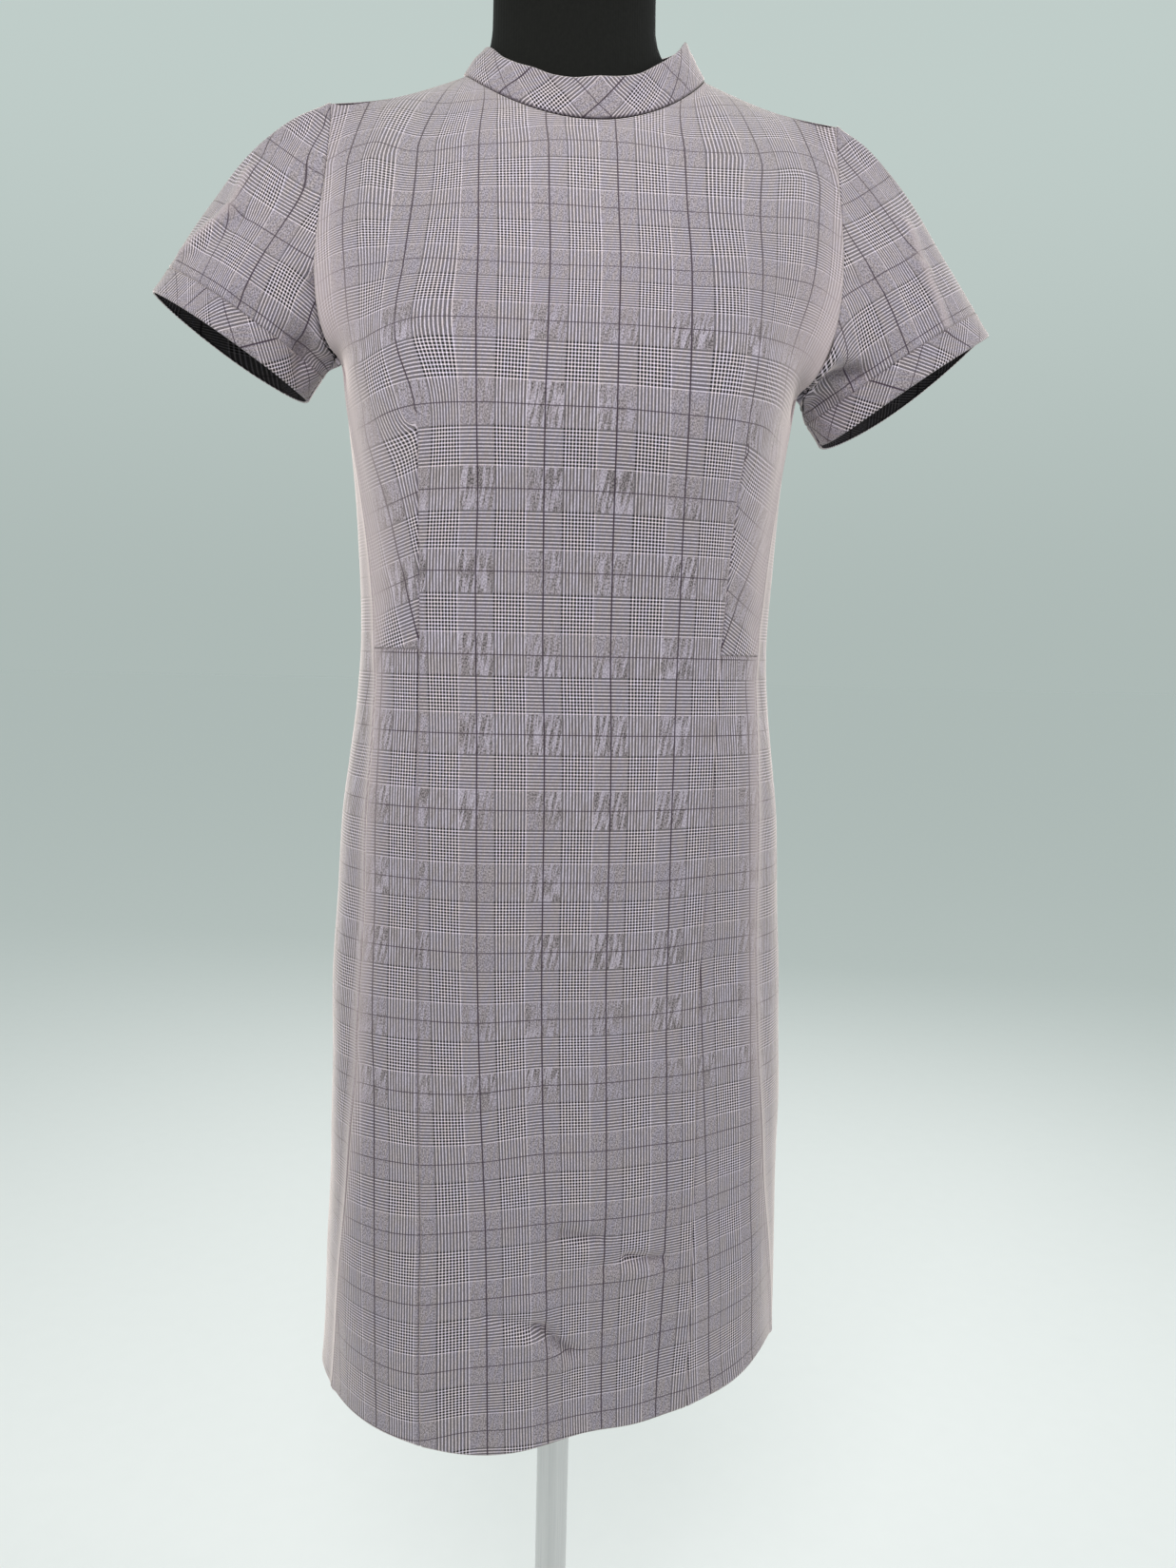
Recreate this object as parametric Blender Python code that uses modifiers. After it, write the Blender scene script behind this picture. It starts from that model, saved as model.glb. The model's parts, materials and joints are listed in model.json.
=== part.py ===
"""Knee-length shift dress of fine checked suiting, worn by a limbless dress form on a round stand.

Units are metres, +Z is up and the wearer faces -Y, so the wearer's left is +X. The origin is the
middle of the stand's underside. Heights in the tables are measured from the waist seam.

The dress is one tube of cloth. Below the underarms its shape is a table of horizontal sections, and a
place on it is a height and a girth position: the distance along the section from centre front, positive
towards +X. Above the underarms every girth position carries on as a curve up to the neckline or the
shoulder seam. Panels are cut from that one surface, a thread apart at the seams, and given their
thickness inwards.
"""

import math
from collections import namedtuple
from functools import lru_cache

import bmesh
import bpy
import numpy as np
from mathutils import Euler, Matrix
from mathutils.kdtree import KDTree

# ---------------------------------------------------------------- driving dimensions
WAIST_Z = 1.030  # height of the waist seam over the floor
HEM = -0.567  # hem, from the waist
CLOTH = 0.0016  # thickness of the cloth with its seam allowances
SEAM_GAP = 0.0003  # between two pieces at a seam
SEAM_REACH = 0.001  # points nearer than this are on one seam
PANEL_HALF = 0.105  # half width of the centre skirt panel, and the girth position of the darts
COLLAR_HEIGHT = 0.028
BAND_WIDTH = 0.020  # bias band at each sleeve hem

Section = namedtuple(
    "Section", "height half_width front back side_x side_y squareness turn slip front_half"
)
SECTIONS = (
    # height  half_width front  back  side_x  side_y  squareness turn slip  front_half
    Section(HEM, 0.183, 0.142, 0.080, 0.005, 0.047, 2.4, 9.0, -0.016, 0.204),
    Section(-0.400, 0.178, 0.114, 0.096, 0.002, 0.024, 2.3, 7.0, -0.012, 0.170),
    Section(-0.250, 0.172, 0.094, 0.104, 0.000, 0.008, 2.2, 5.0, -0.009, 0.151),
    Section(-0.120, 0.163, 0.095, 0.108, -0.002, 0.002, 2.3, 4.0, -0.007, 0.147),
    Section(0.000, 0.149, 0.100, 0.088, -0.003, 0.000, 2.4, 3.0, -0.005, 0.145),
    Section(0.080, 0.151, 0.112, 0.086, -0.003, 0.000, 2.4, 1.5, -0.004, 0.157),
    Section(0.150, 0.156, 0.126, 0.094, -0.003, 0.000, 2.35, 0.5, -0.003, 0.185),
    Section(0.200, 0.163, 0.125, 0.102, -0.002, 0.000, 2.3, 0.0, -0.002, 0.212),
)

Side = namedtuple(
    "Side",
    "name sign neck_x neck_z tip_x tip_z arm_z cuff_out_x cuff_out_z cuff_in_x cuff_in_z cuff_deep cap",
)
SIDES = (
    # name sign neck_x neck_z tip_x tip_z arm_z cuff_out_x cuff_out_z cuff_in_x cuff_in_z cuff_deep cap
    Side("right", -1, 0.083, 0.403, 0.175, 0.380, 0.197, 0.296, 0.242, 0.191, 0.174, 0.050, 0.15),
    Side("left", 1, 0.090, 0.410, 0.188, 0.385, 0.184, 0.305, 0.240, 0.184, 0.156, 0.050, -0.20),
)
# the lower skirt swings out and back in soft folds, and its hem isn't level
Fold = namedtuple("Fold", "girth width out lift")
FOLDS = (
    # girth  width  out    lift
    Fold(-0.200, 0.070, 0.000, 0.004),
    Fold(-0.075, 0.050, 0.003, 0.001),
    Fold(0.020, 0.040, -0.004, 0.006),
    Fold(0.095, 0.045, -0.004, 0.010),
    Fold(0.190, 0.060, 0.002, 0.027),
)
FOLD_TOP = -0.300  # the folds start here and are full at the hem

NECK_FRONT = (0.005, -0.050, 0.354)  # centre front of the neckline seam
NECK_BACK = (0.004, 0.082, 0.418)
SHOULDER_Y = 0.012  # the shoulder seams lie in this plane

# the ways (x, y, z) in which the cloth runs up into the neckline, over the shoulder ridge, out of the
# underarm and into the shoulder tip; x is outwards and, for the last two, y is away from the arm
FRONT_NECK, FRONT_RIDGE = (0.0, 0.55, 0.90), (0.0, 1.00, 0.45)
BACK_NECK, BACK_RIDGE = (0.0, -0.35, 0.95), (0.0, -1.00, 0.45)
UNDERARM_WAY = np.array([0.45, 1.05, 0.25])
TIP_WAY = np.array([0.10, -0.35, 0.95])
ARRIVE_PULL = 0.8

# the limbless form under the dress; its lowest ring is drawn in, which rounds its bottom edge
Inset = namedtuple("Inset", "height inset")
INSETS = (
    # height inset
    Inset(-0.270, 0.030),
    Inset(-0.264, 0.015),
    Inset(-0.250, 0.008),
    Inset(-0.190, 0.007),
    Inset(-0.120, 0.007),
    Inset(-0.060, 0.008),
    Inset(0.000, 0.009),
    Inset(0.080, 0.006),
    Inset(0.150, 0.0060),
    Inset(0.500, 0.0060),
)
FORM_BOTTOM = INSETS[0].height
NECK_X, NECK_Y, NECK_WIDE, NECK_DEEP = -0.0045, 0.014, 0.058, 0.044
NECK_FOOT, NECK_TOP = 0.435, 0.490  # from the waist
PLATE_DOME = 0.010
RIDGE_OUT, RIDGE_HEIGHT = 0.110, 0.250  # the form's shoulders are rounded off beyond and above these
CAP_INSET, CAP_THICK, CAP_FILLET = 0.004, 0.010, 0.003

POLE_RADIUS, FLANGE_RADIUS, FLANGE_THICK, FLANGE_FILLET = 0.0125, 0.045, 0.008, 0.0015
BASE_RADIUS, BASE_THICK, BASE_FILLET = 0.180, 0.008, 0.0025
HUB_RADIUS, HUB_HEIGHT, HUB_FILLET = 0.022, 0.030, 0.002

COLLAR_LEAN = 0.006  # how far the collar's top edge stands in at centre front and centre back
SIDE_LEAN = 0.016  # the same at the shoulders
PIN_DOWN, PIN_OUT = 0.004, 0.0034  # the pull's pin, from the collar's top edge and from its face
PIN_RADIUS, EYE_INNER, EYE_OUTER = 0.0005, 0.0008, 0.0013
EAR_IN, EAR_OUT, EAR_HALF = 0.0016, 0.0024, 0.0011
SLIDER_BELOW, SLIDER_ABOVE, SLIDER_THICK = 0.0075, 0.0015, 0.0016
PULL_LENGTH, PULL_HALF, PULL_THICK, NECK_LENGTH = 0.022, 0.0030, 0.0010, 0.0040

# grid densities
CENTRE_COLS, SIDE_COLS = 8, 6
BACK_COLS = 2 * SIDE_COLS  # so that front and back meet point to point along the shoulder
SKIRT_ROWS, BODICE_ROWS, YOKE_ROWS = 15, 6, 11
SLEEVE_AROUND, SLEEVE_ROWS = 2 * YOKE_ROWS, 6  # sleeve and armhole meet point to point
PLATE_COLS, NECK_ROWS = 5, 4
YOKE_PASSES = 10


def hermite(a, ta, b, tb, t):
    """Cubic from a to b that leaves along ta and arrives along tb; t is 0 to 1."""
    return (
        (2 * t**3 - 3 * t**2 + 1) * a
        + (t**3 - 2 * t**2 + t) * ta
        + (3 * t**2 - 2 * t**3) * b
        + (t**3 - t**2) * tb
    )


def through(at, xs, ys):
    """Smooth curve through the points (xs, ys), read at the places `at`."""
    xs, ys = np.asarray(xs, float), np.asarray(ys, float)
    slope = np.gradient(ys, xs)
    i = np.clip(np.searchsorted(xs, at) - 1, 0, len(xs) - 2)
    span = xs[i + 1] - xs[i]
    t = np.clip((at - xs[i]) / span, 0, 1)
    return hermite(ys[i], slope[i] * span, ys[i + 1], slope[i + 1] * span, t)


def section_at(height):
    heights = [row.height for row in SECTIONS]
    return Section(
        *(through(height, heights, [row[k] for row in SECTIONS]) for k in range(len(SECTIONS[0])))
    )


def ring(section, steps=720):
    """The closed section as (girth position, x, y), from centre back round by +X and on to centre back.

    A quarter is a superellipse: x = w |sin a|^(2/n), y = d |cos a|^(2/n).
    """
    angle = np.linspace(-math.pi, math.pi, steps + 1)
    power = 2 / section.squareness
    x = np.sign(np.sin(angle)) * np.abs(np.sin(angle)) ** power * section.half_width
    deep = np.where(np.cos(angle) > 0, section.front, section.back)
    y = section.side_y - np.sign(np.cos(angle)) * np.abs(np.cos(angle)) ** power * deep
    turn = math.radians(section.turn)
    x, y = x * math.cos(turn) - y * math.sin(turn), x * math.sin(turn) + y * math.cos(turn)
    x = x + section.side_x
    along = np.concatenate([[0], np.cumsum(np.hypot(np.diff(x), np.diff(y)))])
    return along - along[steps // 2], x, y


def tube_point(height, girth):
    """Points of the cloth below the underarms, at one height, for an array of girth positions."""
    section = section_at(height)
    along, x, y = ring(section)
    lap = along[-1] - along[0]
    girth = np.asarray(girth, float)
    place = (girth + section.slip - along[0]) % lap + along[0]
    point = np.stack(
        [np.interp(place, along, x), np.interp(place, along, y), np.full(len(place), height)], axis=-1
    )
    out, lift = folds_at(height, (girth - along[0]) % lap + along[0])
    middle = np.array([section.side_x, section.side_y, height])
    point += (point - middle) * (out / np.linalg.norm(point - middle, axis=1))[:, None]
    point[:, 2] += lift
    return point


def folds_at(height, girth):
    """How far the cloth stands out of its section, and how much it is lifted, at a height."""
    share = min(max((FOLD_TOP - height) / (FOLD_TOP - HEM), 0.0), 1.0)
    share = share * share * (3 - 2 * share)
    bells = [np.exp(-(((girth - fold.girth) / fold.width) ** 2)) for fold in FOLDS]
    out = sum(fold.out * bell for fold, bell in zip(FOLDS, bells))
    lift = sum(fold.lift * bell for fold, bell in zip(FOLDS, bells))
    return share * out, share * lift


def girth_of(height):
    along, _, _ = ring(section_at(height))
    return along[-1] - along[0]


def back_centre(height):
    """Girth position of centre back, reached round the +X side."""
    return girth_of(height) / 2


def side_seam(height, side):
    return float(section_at(height).front_half) * side.sign


def underarm_height(side, share):
    """The top of the tube rises or falls from centre front to each underarm. share is 0 to 1 across."""
    middle = (SIDES[0].arm_z + SIDES[1].arm_z) / 2
    return middle + (side.arm_z - middle) * share**2


def neckline(angle):
    """The neckline seam. 0 is centre front, +90 degrees the wearer's left shoulder, 180 centre back."""
    angle = np.asarray(angle, float)
    front, back = np.array(NECK_FRONT), np.array(NECK_BACK)
    mid_x = (SIDES[1].neck_x - SIDES[0].neck_x) / 2
    half = (SIDES[1].neck_x + SIDES[0].neck_x) / 2
    x = mid_x + half * np.sin(angle)
    facing = np.cos(angle)
    y = np.where(
        facing > 0,
        SHOULDER_Y + (front[1] - SHOULDER_Y) * facing,
        SHOULDER_Y - (back[1] - SHOULDER_Y) * facing,
    )
    across = (np.sin(angle) + 1) / 2
    shoulder = SIDES[0].neck_z * (1 - across) + SIDES[1].neck_z * across
    drop = np.where(facing > 0, front[2] - shoulder, back[2] - shoulder)
    z = shoulder + drop * np.abs(facing) ** 1.5
    return np.stack([x, y, z], axis=-1)


def neck_angles():
    """Where the columns of the front and the backs meet the neckline, from centre back round by the
    front to centre back again."""
    spread = np.concatenate([np.linspace(0, 1, CENTRE_COLS + 1), np.linspace(1, 2, SIDE_COLS + 1)[1:]])
    return np.concatenate([-spread[:0:-1], spread]) * math.pi / 2


def shoulder_seam(side, share):
    """From the neck corner, share 0, to the shoulder tip, share 1, with a slight hollow."""
    share = np.asarray(share, float)
    x = side.neck_x + (side.tip_x - side.neck_x) * share
    z = side.neck_z + (side.tip_z - side.neck_z) * share - 0.004 * np.sin(math.pi * share)
    return np.stack([side.sign * x, np.full_like(x, SHOULDER_Y), z], axis=-1)


def yoke_column(bottom, rise, side, front, across, rows):
    """One curve of the upper body. across runs from 0 at the centre line, by 1 at the neck corner, to 2 at
    the armhole. rows holds the places along it, 0 at the underarm line and 1 at the top."""
    facing = -1 if front else 1
    if across <= 1:
        angle = side.sign * across * math.pi / 2
        top = neckline([angle if front else math.pi - angle])[0]
        # the collar stands on the same line, so the yoke stops a little outside it
        outwards = np.array([math.sin(angle), (1 if not front else -1) * math.cos(angle), 0.0])
        top = top + outwards * SEAM_GAP
        if not front and across == 0:
            top[0] += side.sign * SEAM_GAP / 2
    else:
        top = shoulder_seam(side, [across - 1])[0]
    into = max(0.0, across - 1)
    height = np.linalg.norm(top - bottom)
    # at the centre line the cloth runs up and inwards to the neck, on the shoulder it runs over the ridge
    over = min(across, 1.0)
    at_centre, at_shoulder = (FRONT_NECK, FRONT_RIDGE) if front else (BACK_NECK, BACK_RIDGE)
    arrive = np.array(at_centre) * (1 - over) + np.array(at_shoulder) * over
    # at the armhole the curve leaves the underarm forwards or backwards, which makes the round of the hole
    mirror = np.array([side.sign, facing, 1])
    leave = rise + into**3 * (UNDERARM_WAY * mirror - rise)
    arrive = arrive + into**2 * (TIP_WAY * mirror - arrive)
    return hermite(bottom, leave * height, top, arrive * height * ARRIVE_PULL, rows[:, None])


def new_material(name, colour, roughness, metallic=0.0):
    material = bpy.data.materials.new(name)
    material.use_nodes = True
    shader = material.node_tree.nodes["Principled BSDF"]
    shader.inputs["Base Color"].default_value = (*colour, 1)
    shader.inputs["Roughness"].default_value = roughness
    shader.inputs["Metallic"].default_value = metallic
    return material


def add_object(name, mesh, material, collection):
    obj = bpy.data.objects.new(name, mesh)
    obj.data.materials.append(material)
    collection.objects.link(obj)
    return obj


Piece = namedtuple("Piece", "name grid keep closed", defaults=(None, False))


def corners_of(piece):
    """Four-cornered faces of a piece's grid, rows up and columns towards +X seen from in front, which makes
    them face outwards. A closed grid joins its last column to its first."""
    rows, columns = piece.grid.shape[:2]
    number = np.arange(rows * columns).reshape(rows, columns)
    if piece.closed:
        number = np.concatenate([number, number[:, :1]], axis=1)
    faces = np.stack([number[:-1, :-1], number[:-1, 1:], number[1:, 1:], number[1:, :-1]], axis=-1)
    return faces[piece.keep] if piece.keep is not None else faces.reshape(-1, 4)


def shared_normals(pieces):
    """Outward direction at every point of some pieces, the same on both sides of each seam between them."""
    points = [piece.grid.reshape(-1, 3) for piece in pieces]
    sums = []
    for piece, xyz in zip(pieces, points):
        faces = corners_of(piece)
        a, b, c, d = (xyz[faces[:, k]] for k in range(4))
        facing = np.cross(c - a, d - b)
        total = np.zeros_like(xyz)
        for k in range(4):
            np.add.at(total, faces[:, k], facing)
        sums.append(total)
    everywhere, total = np.concatenate(points), np.concatenate(sums)
    tree = KDTree(len(everywhere))
    for i, place in enumerate(everywhere.tolist()):
        tree.insert(place, i)
    tree.balance()
    near = [[i for _, i, _ in tree.find_range(place, SEAM_REACH)] for place in everywhere.tolist()]
    joined = np.array([total[indices].sum(axis=0) for indices in near])
    joined /= np.maximum(np.linalg.norm(joined, axis=1, keepdims=True), 1e-12)
    return np.split(joined, np.cumsum([len(xyz) for xyz in points])[:-1])


def split_in_two(faces, xyz):
    """Triangles of four-cornered faces, each split along its shorter diagonal."""
    a, b, c, d = (xyz[faces[:, k]] for k in range(4))
    turned_round = np.linalg.norm(c - a, axis=1) > np.linalg.norm(d - b, axis=1)
    faces = np.where(turned_round[:, None], np.roll(faces, -1, axis=1), faces)
    return np.concatenate([faces[:, [0, 1, 2]], faces[:, [0, 2, 3]]])


def add_cloth(pieces, material, collection):
    """Solid walls from pieces that meet at seams: each grid is the outside, and its copy one cloth
    thickness in along the shared normals is the inside."""
    for piece, normals in zip(pieces, shared_normals(pieces)):
        outside = piece.grid.reshape(-1, 3) + [0, 0, WAIST_Z]
        faces = corners_of(piece)
        count = len(outside)
        edges = np.concatenate([faces[:, [k, (k + 1) % 4]] for k in range(4)])
        used = set(map(tuple, edges.tolist()))
        rims = [(b, a, a + count, b + count) for a, b in used if (b, a) not in used]
        skin = split_in_two(faces, outside)
        mesh = bpy.data.meshes.new(piece.name)
        mesh.from_pydata(
            np.concatenate([outside, outside - normals * CLOTH]).tolist(),
            [],
            skin.tolist() + (skin[:, ::-1] + count).tolist() + rims,
        )
        bm = bmesh.new()
        bm.from_mesh(mesh)
        bmesh.ops.delete(bm, geom=[v for v in bm.verts if not v.link_faces], context="VERTS")
        bm.to_mesh(mesh)
        bm.free()
        mesh.shade_smooth()
        mesh.set_sharp_from_angle(angle=math.radians(50))
        add_object(piece.name, mesh, material, collection)


def front_girths(height, side):
    """Girth positions of the front's columns on one side: centre line, dart line, side seam."""
    edge = abs(side_seam(height, side)) - SEAM_GAP / 2
    centre = np.linspace(0, PANEL_HALF, CENTRE_COLS + 1)
    return np.concatenate([centre, np.linspace(PANEL_HALF, edge, SIDE_COLS + 1)[1:]])


def back_girths(height, side):
    start = abs(side_seam(height, side)) + SEAM_GAP / 2
    end = back_centre(height) - SEAM_GAP / 2
    return np.linspace(start, end, BACK_COLS + 1)


def half_upper_grid(side, front):
    """Bodice and yoke of a front half or a back half, rows from the waist up, columns from the centre line
    out on the front and from the side seam in on the back."""
    girths = front_girths if front else back_girths
    across = np.concatenate([np.linspace(0, 1, CENTRE_COLS + 1), np.linspace(1, 2, SIDE_COLS + 1)[1:]])
    across = across if front else np.linspace(2, 0, BACK_COLS + 1)
    bodice = np.zeros((BODICE_ROWS + 1, len(across), 3))
    yoke = np.zeros((YOKE_ROWS, len(across), 3))
    yoke_rows = np.linspace(0, 1, YOKE_ROWS + 1)[1:]
    for j, share in enumerate(across):
        top = underarm_height(side, share / 2)
        for i, height in enumerate(np.linspace(0, top, BODICE_ROWS + 1)):
            bodice[i, j] = tube_point(height, side.sign * girths(height, side)[j : j + 1])[0]
        rise = bodice[-1, j] - bodice[-2, j]
        rise = rise / np.linalg.norm(rise)
        yoke[:, j] = yoke_column(bodice[-1, j], rise, side, front, share, yoke_rows)
    return np.concatenate([bodice, yoke])


@lru_cache(maxsize=None)
def upper_grids(front):
    """Both halves, evened out across the yoke so that the corner of the neckline leaves no ridge below it.

    Every pass moves each point a share of the way to the mean of its neighbours on the row. The share grows
    from 0 at the underarms to a half and falls again towards the neckline and the shoulder seams, and they
    and the armholes don't move.
    """
    halves = [half_upper_grid(side, front) for side in SIDES]
    inner = 0 if front else -1
    right, left = halves if front else [half[:, ::-1] for half in halves]
    centre = (right[:, :1] + left[:, :1]) / 2
    whole = np.concatenate([right[:, :0:-1], centre, left[:, 1:]], axis=1)
    share = np.zeros(len(whole))
    up = np.linspace(0, 1, YOKE_ROWS + 1)
    share[BODICE_ROWS:] = 0.5 * np.clip(3 * up, 0, 1) * np.clip(4 * (1 - up), 0, 1)
    for _ in range(YOKE_PASSES):
        mean = (whole[:, :-2] + whole[:, 2:]) / 2
        whole[:, 1:-1] += (mean - whole[:, 1:-1]) * share[:, None, None]
    middle = right.shape[1] - 1
    for half, part, sign in ((halves[0], whole[:, middle::-1], -1), (halves[1], whole[:, middle:], 1)):
        kept = half[:, inner].copy()
        half[:] = part if front else part[:, ::-1]
        half[:, inner] += [0 if front else sign * SEAM_GAP / 2, 0, 0]
        half[-1, inner] = kept[-1]
    return halves


def upper_grid(side, front):
    return upper_grids(front)[0 if side.sign < 0 else 1].copy()


def skirt_grid(girth_function, side, heights=None):
    heights = np.linspace(HEM, 0, SKIRT_ROWS + 1) if heights is None else heights
    return np.stack([tube_point(h, side.sign * girth_function(h, side)) for h in heights])


def mirrored(left_of_centre, right_of_centre):
    """One grid from two halves that share their first column, which is the centre line."""
    return np.concatenate([left_of_centre[:, :0:-1], right_of_centre], axis=1)


def front_piece():
    """Bodice front with its darts closed, in one with the narrow centre panel of the skirt."""
    right, left = SIDES
    upper = mirrored(upper_grid(right, True), upper_grid(left, True))

    def panel(height, side):
        return front_girths(height, side)[: CENTRE_COLS + 1] * (1 - SEAM_GAP / 2 / PANEL_HALF)

    narrow = mirrored(skirt_grid(panel, right), skirt_grid(panel, left))[:-1]
    wide = np.repeat(narrow[:, :1], SIDE_COLS, axis=1), np.repeat(narrow[:, -1:], SIDE_COLS, axis=1)
    lower = np.concatenate([wide[0], narrow, wide[1]], axis=1)
    grid = np.concatenate([lower, upper])
    grid[SKIRT_ROWS, :SIDE_COLS, 2] += SEAM_GAP / 2
    grid[SKIRT_ROWS, -SIDE_COLS:, 2] += SEAM_GAP / 2
    keep = np.ones((grid.shape[0] - 1, grid.shape[1] - 1), bool)
    keep[:SKIRT_ROWS, :SIDE_COLS] = False
    keep[:SKIRT_ROWS, -SIDE_COLS:] = False
    trim_top(grid)
    return Piece("front", grid, keep)


def trim_top(grid):
    """Pulls the top row down its columns by half a seam gap."""
    step = grid[-2] - grid[-1]
    grid[-1] += step / np.linalg.norm(step, axis=-1, keepdims=True) * SEAM_GAP


def skirt_side_piece(side):
    def girths(height, side):
        edge = abs(side_seam(height, side)) - SEAM_GAP / 2
        return np.linspace(PANEL_HALF + SEAM_GAP / 2, edge, SIDE_COLS + 1)

    grid = skirt_grid(girths, side)
    grid[-1, :, 2] -= SEAM_GAP / 2
    if side.sign < 0:
        grid = grid[:, ::-1]
    return Piece(f"skirt_side_{side.name}", grid)


def back_piece(side):
    grid = np.concatenate([skirt_grid(back_girths, side)[:-1], upper_grid(side, False)])
    trim_top(grid)
    if side.sign < 0:
        grid = grid[:, ::-1]
    return Piece(f"back_{side.name}", grid)


def armhole_loop(side):
    """The armhole edge as a closed loop of points: shoulder tip, down the front, underarm, up the back."""
    front = upper_grid(side, True)[BODICE_ROWS:, -1]
    back = upper_grid(side, False)[BODICE_ROWS:, 0]
    return np.concatenate([front[::-1], back[1:-1]])


def cuff_loop(side):
    """The sleeve's free edge, an oval in a slanting plane, with the loop's points in the armhole's order."""
    angle = np.linspace(0, 2 * math.pi, SLEEVE_AROUND, endpoint=False)
    outer = np.array([side.sign * side.cuff_out_x, 0.004, side.cuff_out_z])
    inner = np.array([side.sign * side.cuff_in_x, 0.0, side.cuff_in_z])
    middle, half = (outer + inner) / 2, (outer - inner) / 2
    deep = np.array([0.0, -side.cuff_deep, 0.0])
    return middle + np.cos(angle)[:, None] * half + np.sin(angle)[:, None] * deep


def sleeve_axis(side):
    """Unit vector out of the cuff, square to its plane."""
    across = np.array(
        [side.sign * (side.cuff_out_x - side.cuff_in_x), 0, side.cuff_out_z - side.cuff_in_z]
    )
    out = np.cross(across, [0, 1, 0])
    out = out / np.linalg.norm(out)
    return out if out[2] < 0 else -out


def sleeve_grid(side):
    """Rows from the free edge's band seam up to the armhole."""
    hole, cuff, out = armhole_loop(side), cuff_loop(side), sleeve_axis(side)
    centre = hole.mean(axis=0)
    seam = cuff - out * BAND_WIDTH
    around = np.linspace(0, 2 * math.pi, SLEEVE_AROUND, endpoint=False)
    top = (1 + np.cos(around)) / 2
    leave = np.stack(
        [
            side.sign * (0.55 + (0.45 + 0.30 * side.cap) * top),
            (hole - centre)[:, 1] * 2.0,
            -0.75 + (0.45 + 0.15 * side.cap) * top,
        ],
        axis=-1,
    )
    span = np.linalg.norm(seam - hole, axis=1, keepdims=True)
    lift = leave / np.linalg.norm(leave, axis=1, keepdims=True)
    lift = lift * (1 + side.cap * (0.5 * top - 0.2))[:, None]
    hole = hole + lift * SEAM_GAP * 2
    t = np.linspace(1, 0, SLEEVE_ROWS + 1)[:, None, None]
    return hermite(hole[None], (lift * span)[None], seam[None], (out * span)[None], t)


def sleeve_pieces(side):
    grid = sleeve_grid(side)
    out = sleeve_axis(side)
    body = grid.copy()
    body[0] -= out * SEAM_GAP / 2
    band = np.stack([cuff_loop(side), grid[0] + out * SEAM_GAP / 2])
    flip = slice(None, None, -1 if side.sign > 0 else 1)
    return (
        Piece(f"sleeve_{side.name}", body[:, flip], closed=True),
        Piece(f"sleeve_band_{side.name}", band[:, flip], closed=True),
    )


def collar_grid():
    """A conical band, open at centre back by a seam gap. Rows from the neckline seam up."""
    angle = neck_angles()
    seam = neckline(angle)
    mid = seam.mean(axis=0)
    seam[0, 0] -= SEAM_GAP / 2
    seam[-1, 0] += SEAM_GAP / 2
    # the top edge is shorter than the seam, so the band leans in, most at the shoulders
    lean = COLLAR_LEAN + (SIDE_LEAN - COLLAR_LEAN) * np.sin(angle) ** 2
    inwards = mid - seam
    inwards[:, 2] = 0
    inwards /= np.linalg.norm(inwards, axis=1, keepdims=True)
    rise = np.sqrt(COLLAR_HEIGHT**2 - lean**2) * (1 + 0.10 * np.sin(angle))
    rows = []
    for share in (0.0, 0.5, 1.0):
        point = seam + inwards * (lean * share)[:, None]
        point[:, 2] += SEAM_GAP + rise * share
        rows.append(point)
    return np.stack(rows)


def weld(mesh, distance):
    bm = bmesh.new()
    bm.from_mesh(mesh)
    bmesh.ops.remove_doubles(bm, verts=bm.verts, dist=distance)
    bmesh.ops.dissolve_degenerate(bm, edges=bm.edges, dist=distance / 10)
    bmesh.ops.recalc_face_normals(bm, faces=bm.faces)
    return bm


def patch(grid):
    """Points and four-cornered faces of one grid of points."""
    number = np.arange(grid.shape[0] * grid.shape[1]).reshape(grid.shape[:2])
    faces = np.stack([number[:-1, :-1], number[:-1, 1:], number[1:, 1:], number[1:, :-1]], axis=-1)
    return grid.reshape(-1, 3), faces.reshape(-1, 4)


def arm_plate(side):
    """The closed end of the form inside an armhole: straight across from the front edge to the back edge,
    domed outwards in the middle."""
    front = upper_grid(side, True)[BODICE_ROWS:, -1]
    back = upper_grid(side, False)[BODICE_ROWS:, 0]
    across = np.linspace(0, 1, PLATE_COLS + 1)
    up = np.linspace(0, 1, YOKE_ROWS + 1)
    grid = front[:, None] + (back - front)[:, None] * across[None, :, None]
    dome = PLATE_DOME * np.sin(math.pi * up)[:, None] * np.sin(math.pi * across)[None]
    grid[..., 0] += side.sign * dome
    return grid


def form_neck():
    """From the neckline in to the round neck and straight up to its top."""
    angle = neck_angles()
    start = neckline(angle)
    wide, deep = NECK_WIDE + INSETS[-1].inset, NECK_DEEP + INSETS[-1].inset
    ring_end = np.stack(
        [NECK_X + wide * np.sin(angle), NECK_Y - deep * np.cos(angle), np.full(len(angle), NECK_FOOT)],
        axis=-1,
    )
    inwards = (ring_end - start) * [1, 1, 0]
    leave = inwards * 1.2 + [0, 0, 0.006]
    arrive = inwards * 0.1 + [0, 0, 0.040]
    curve = [hermite(start, leave, ring_end, arrive, t) for t in np.linspace(0, 1, NECK_ROWS + 1)]
    top = ring_end + [0, 0, NECK_TOP - NECK_FOOT]
    return np.stack([*curve, (ring_end + top) / 2, top])


def form_inset(height):
    return np.interp(height, [row.height for row in INSETS], [row.inset for row in INSETS])


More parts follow.
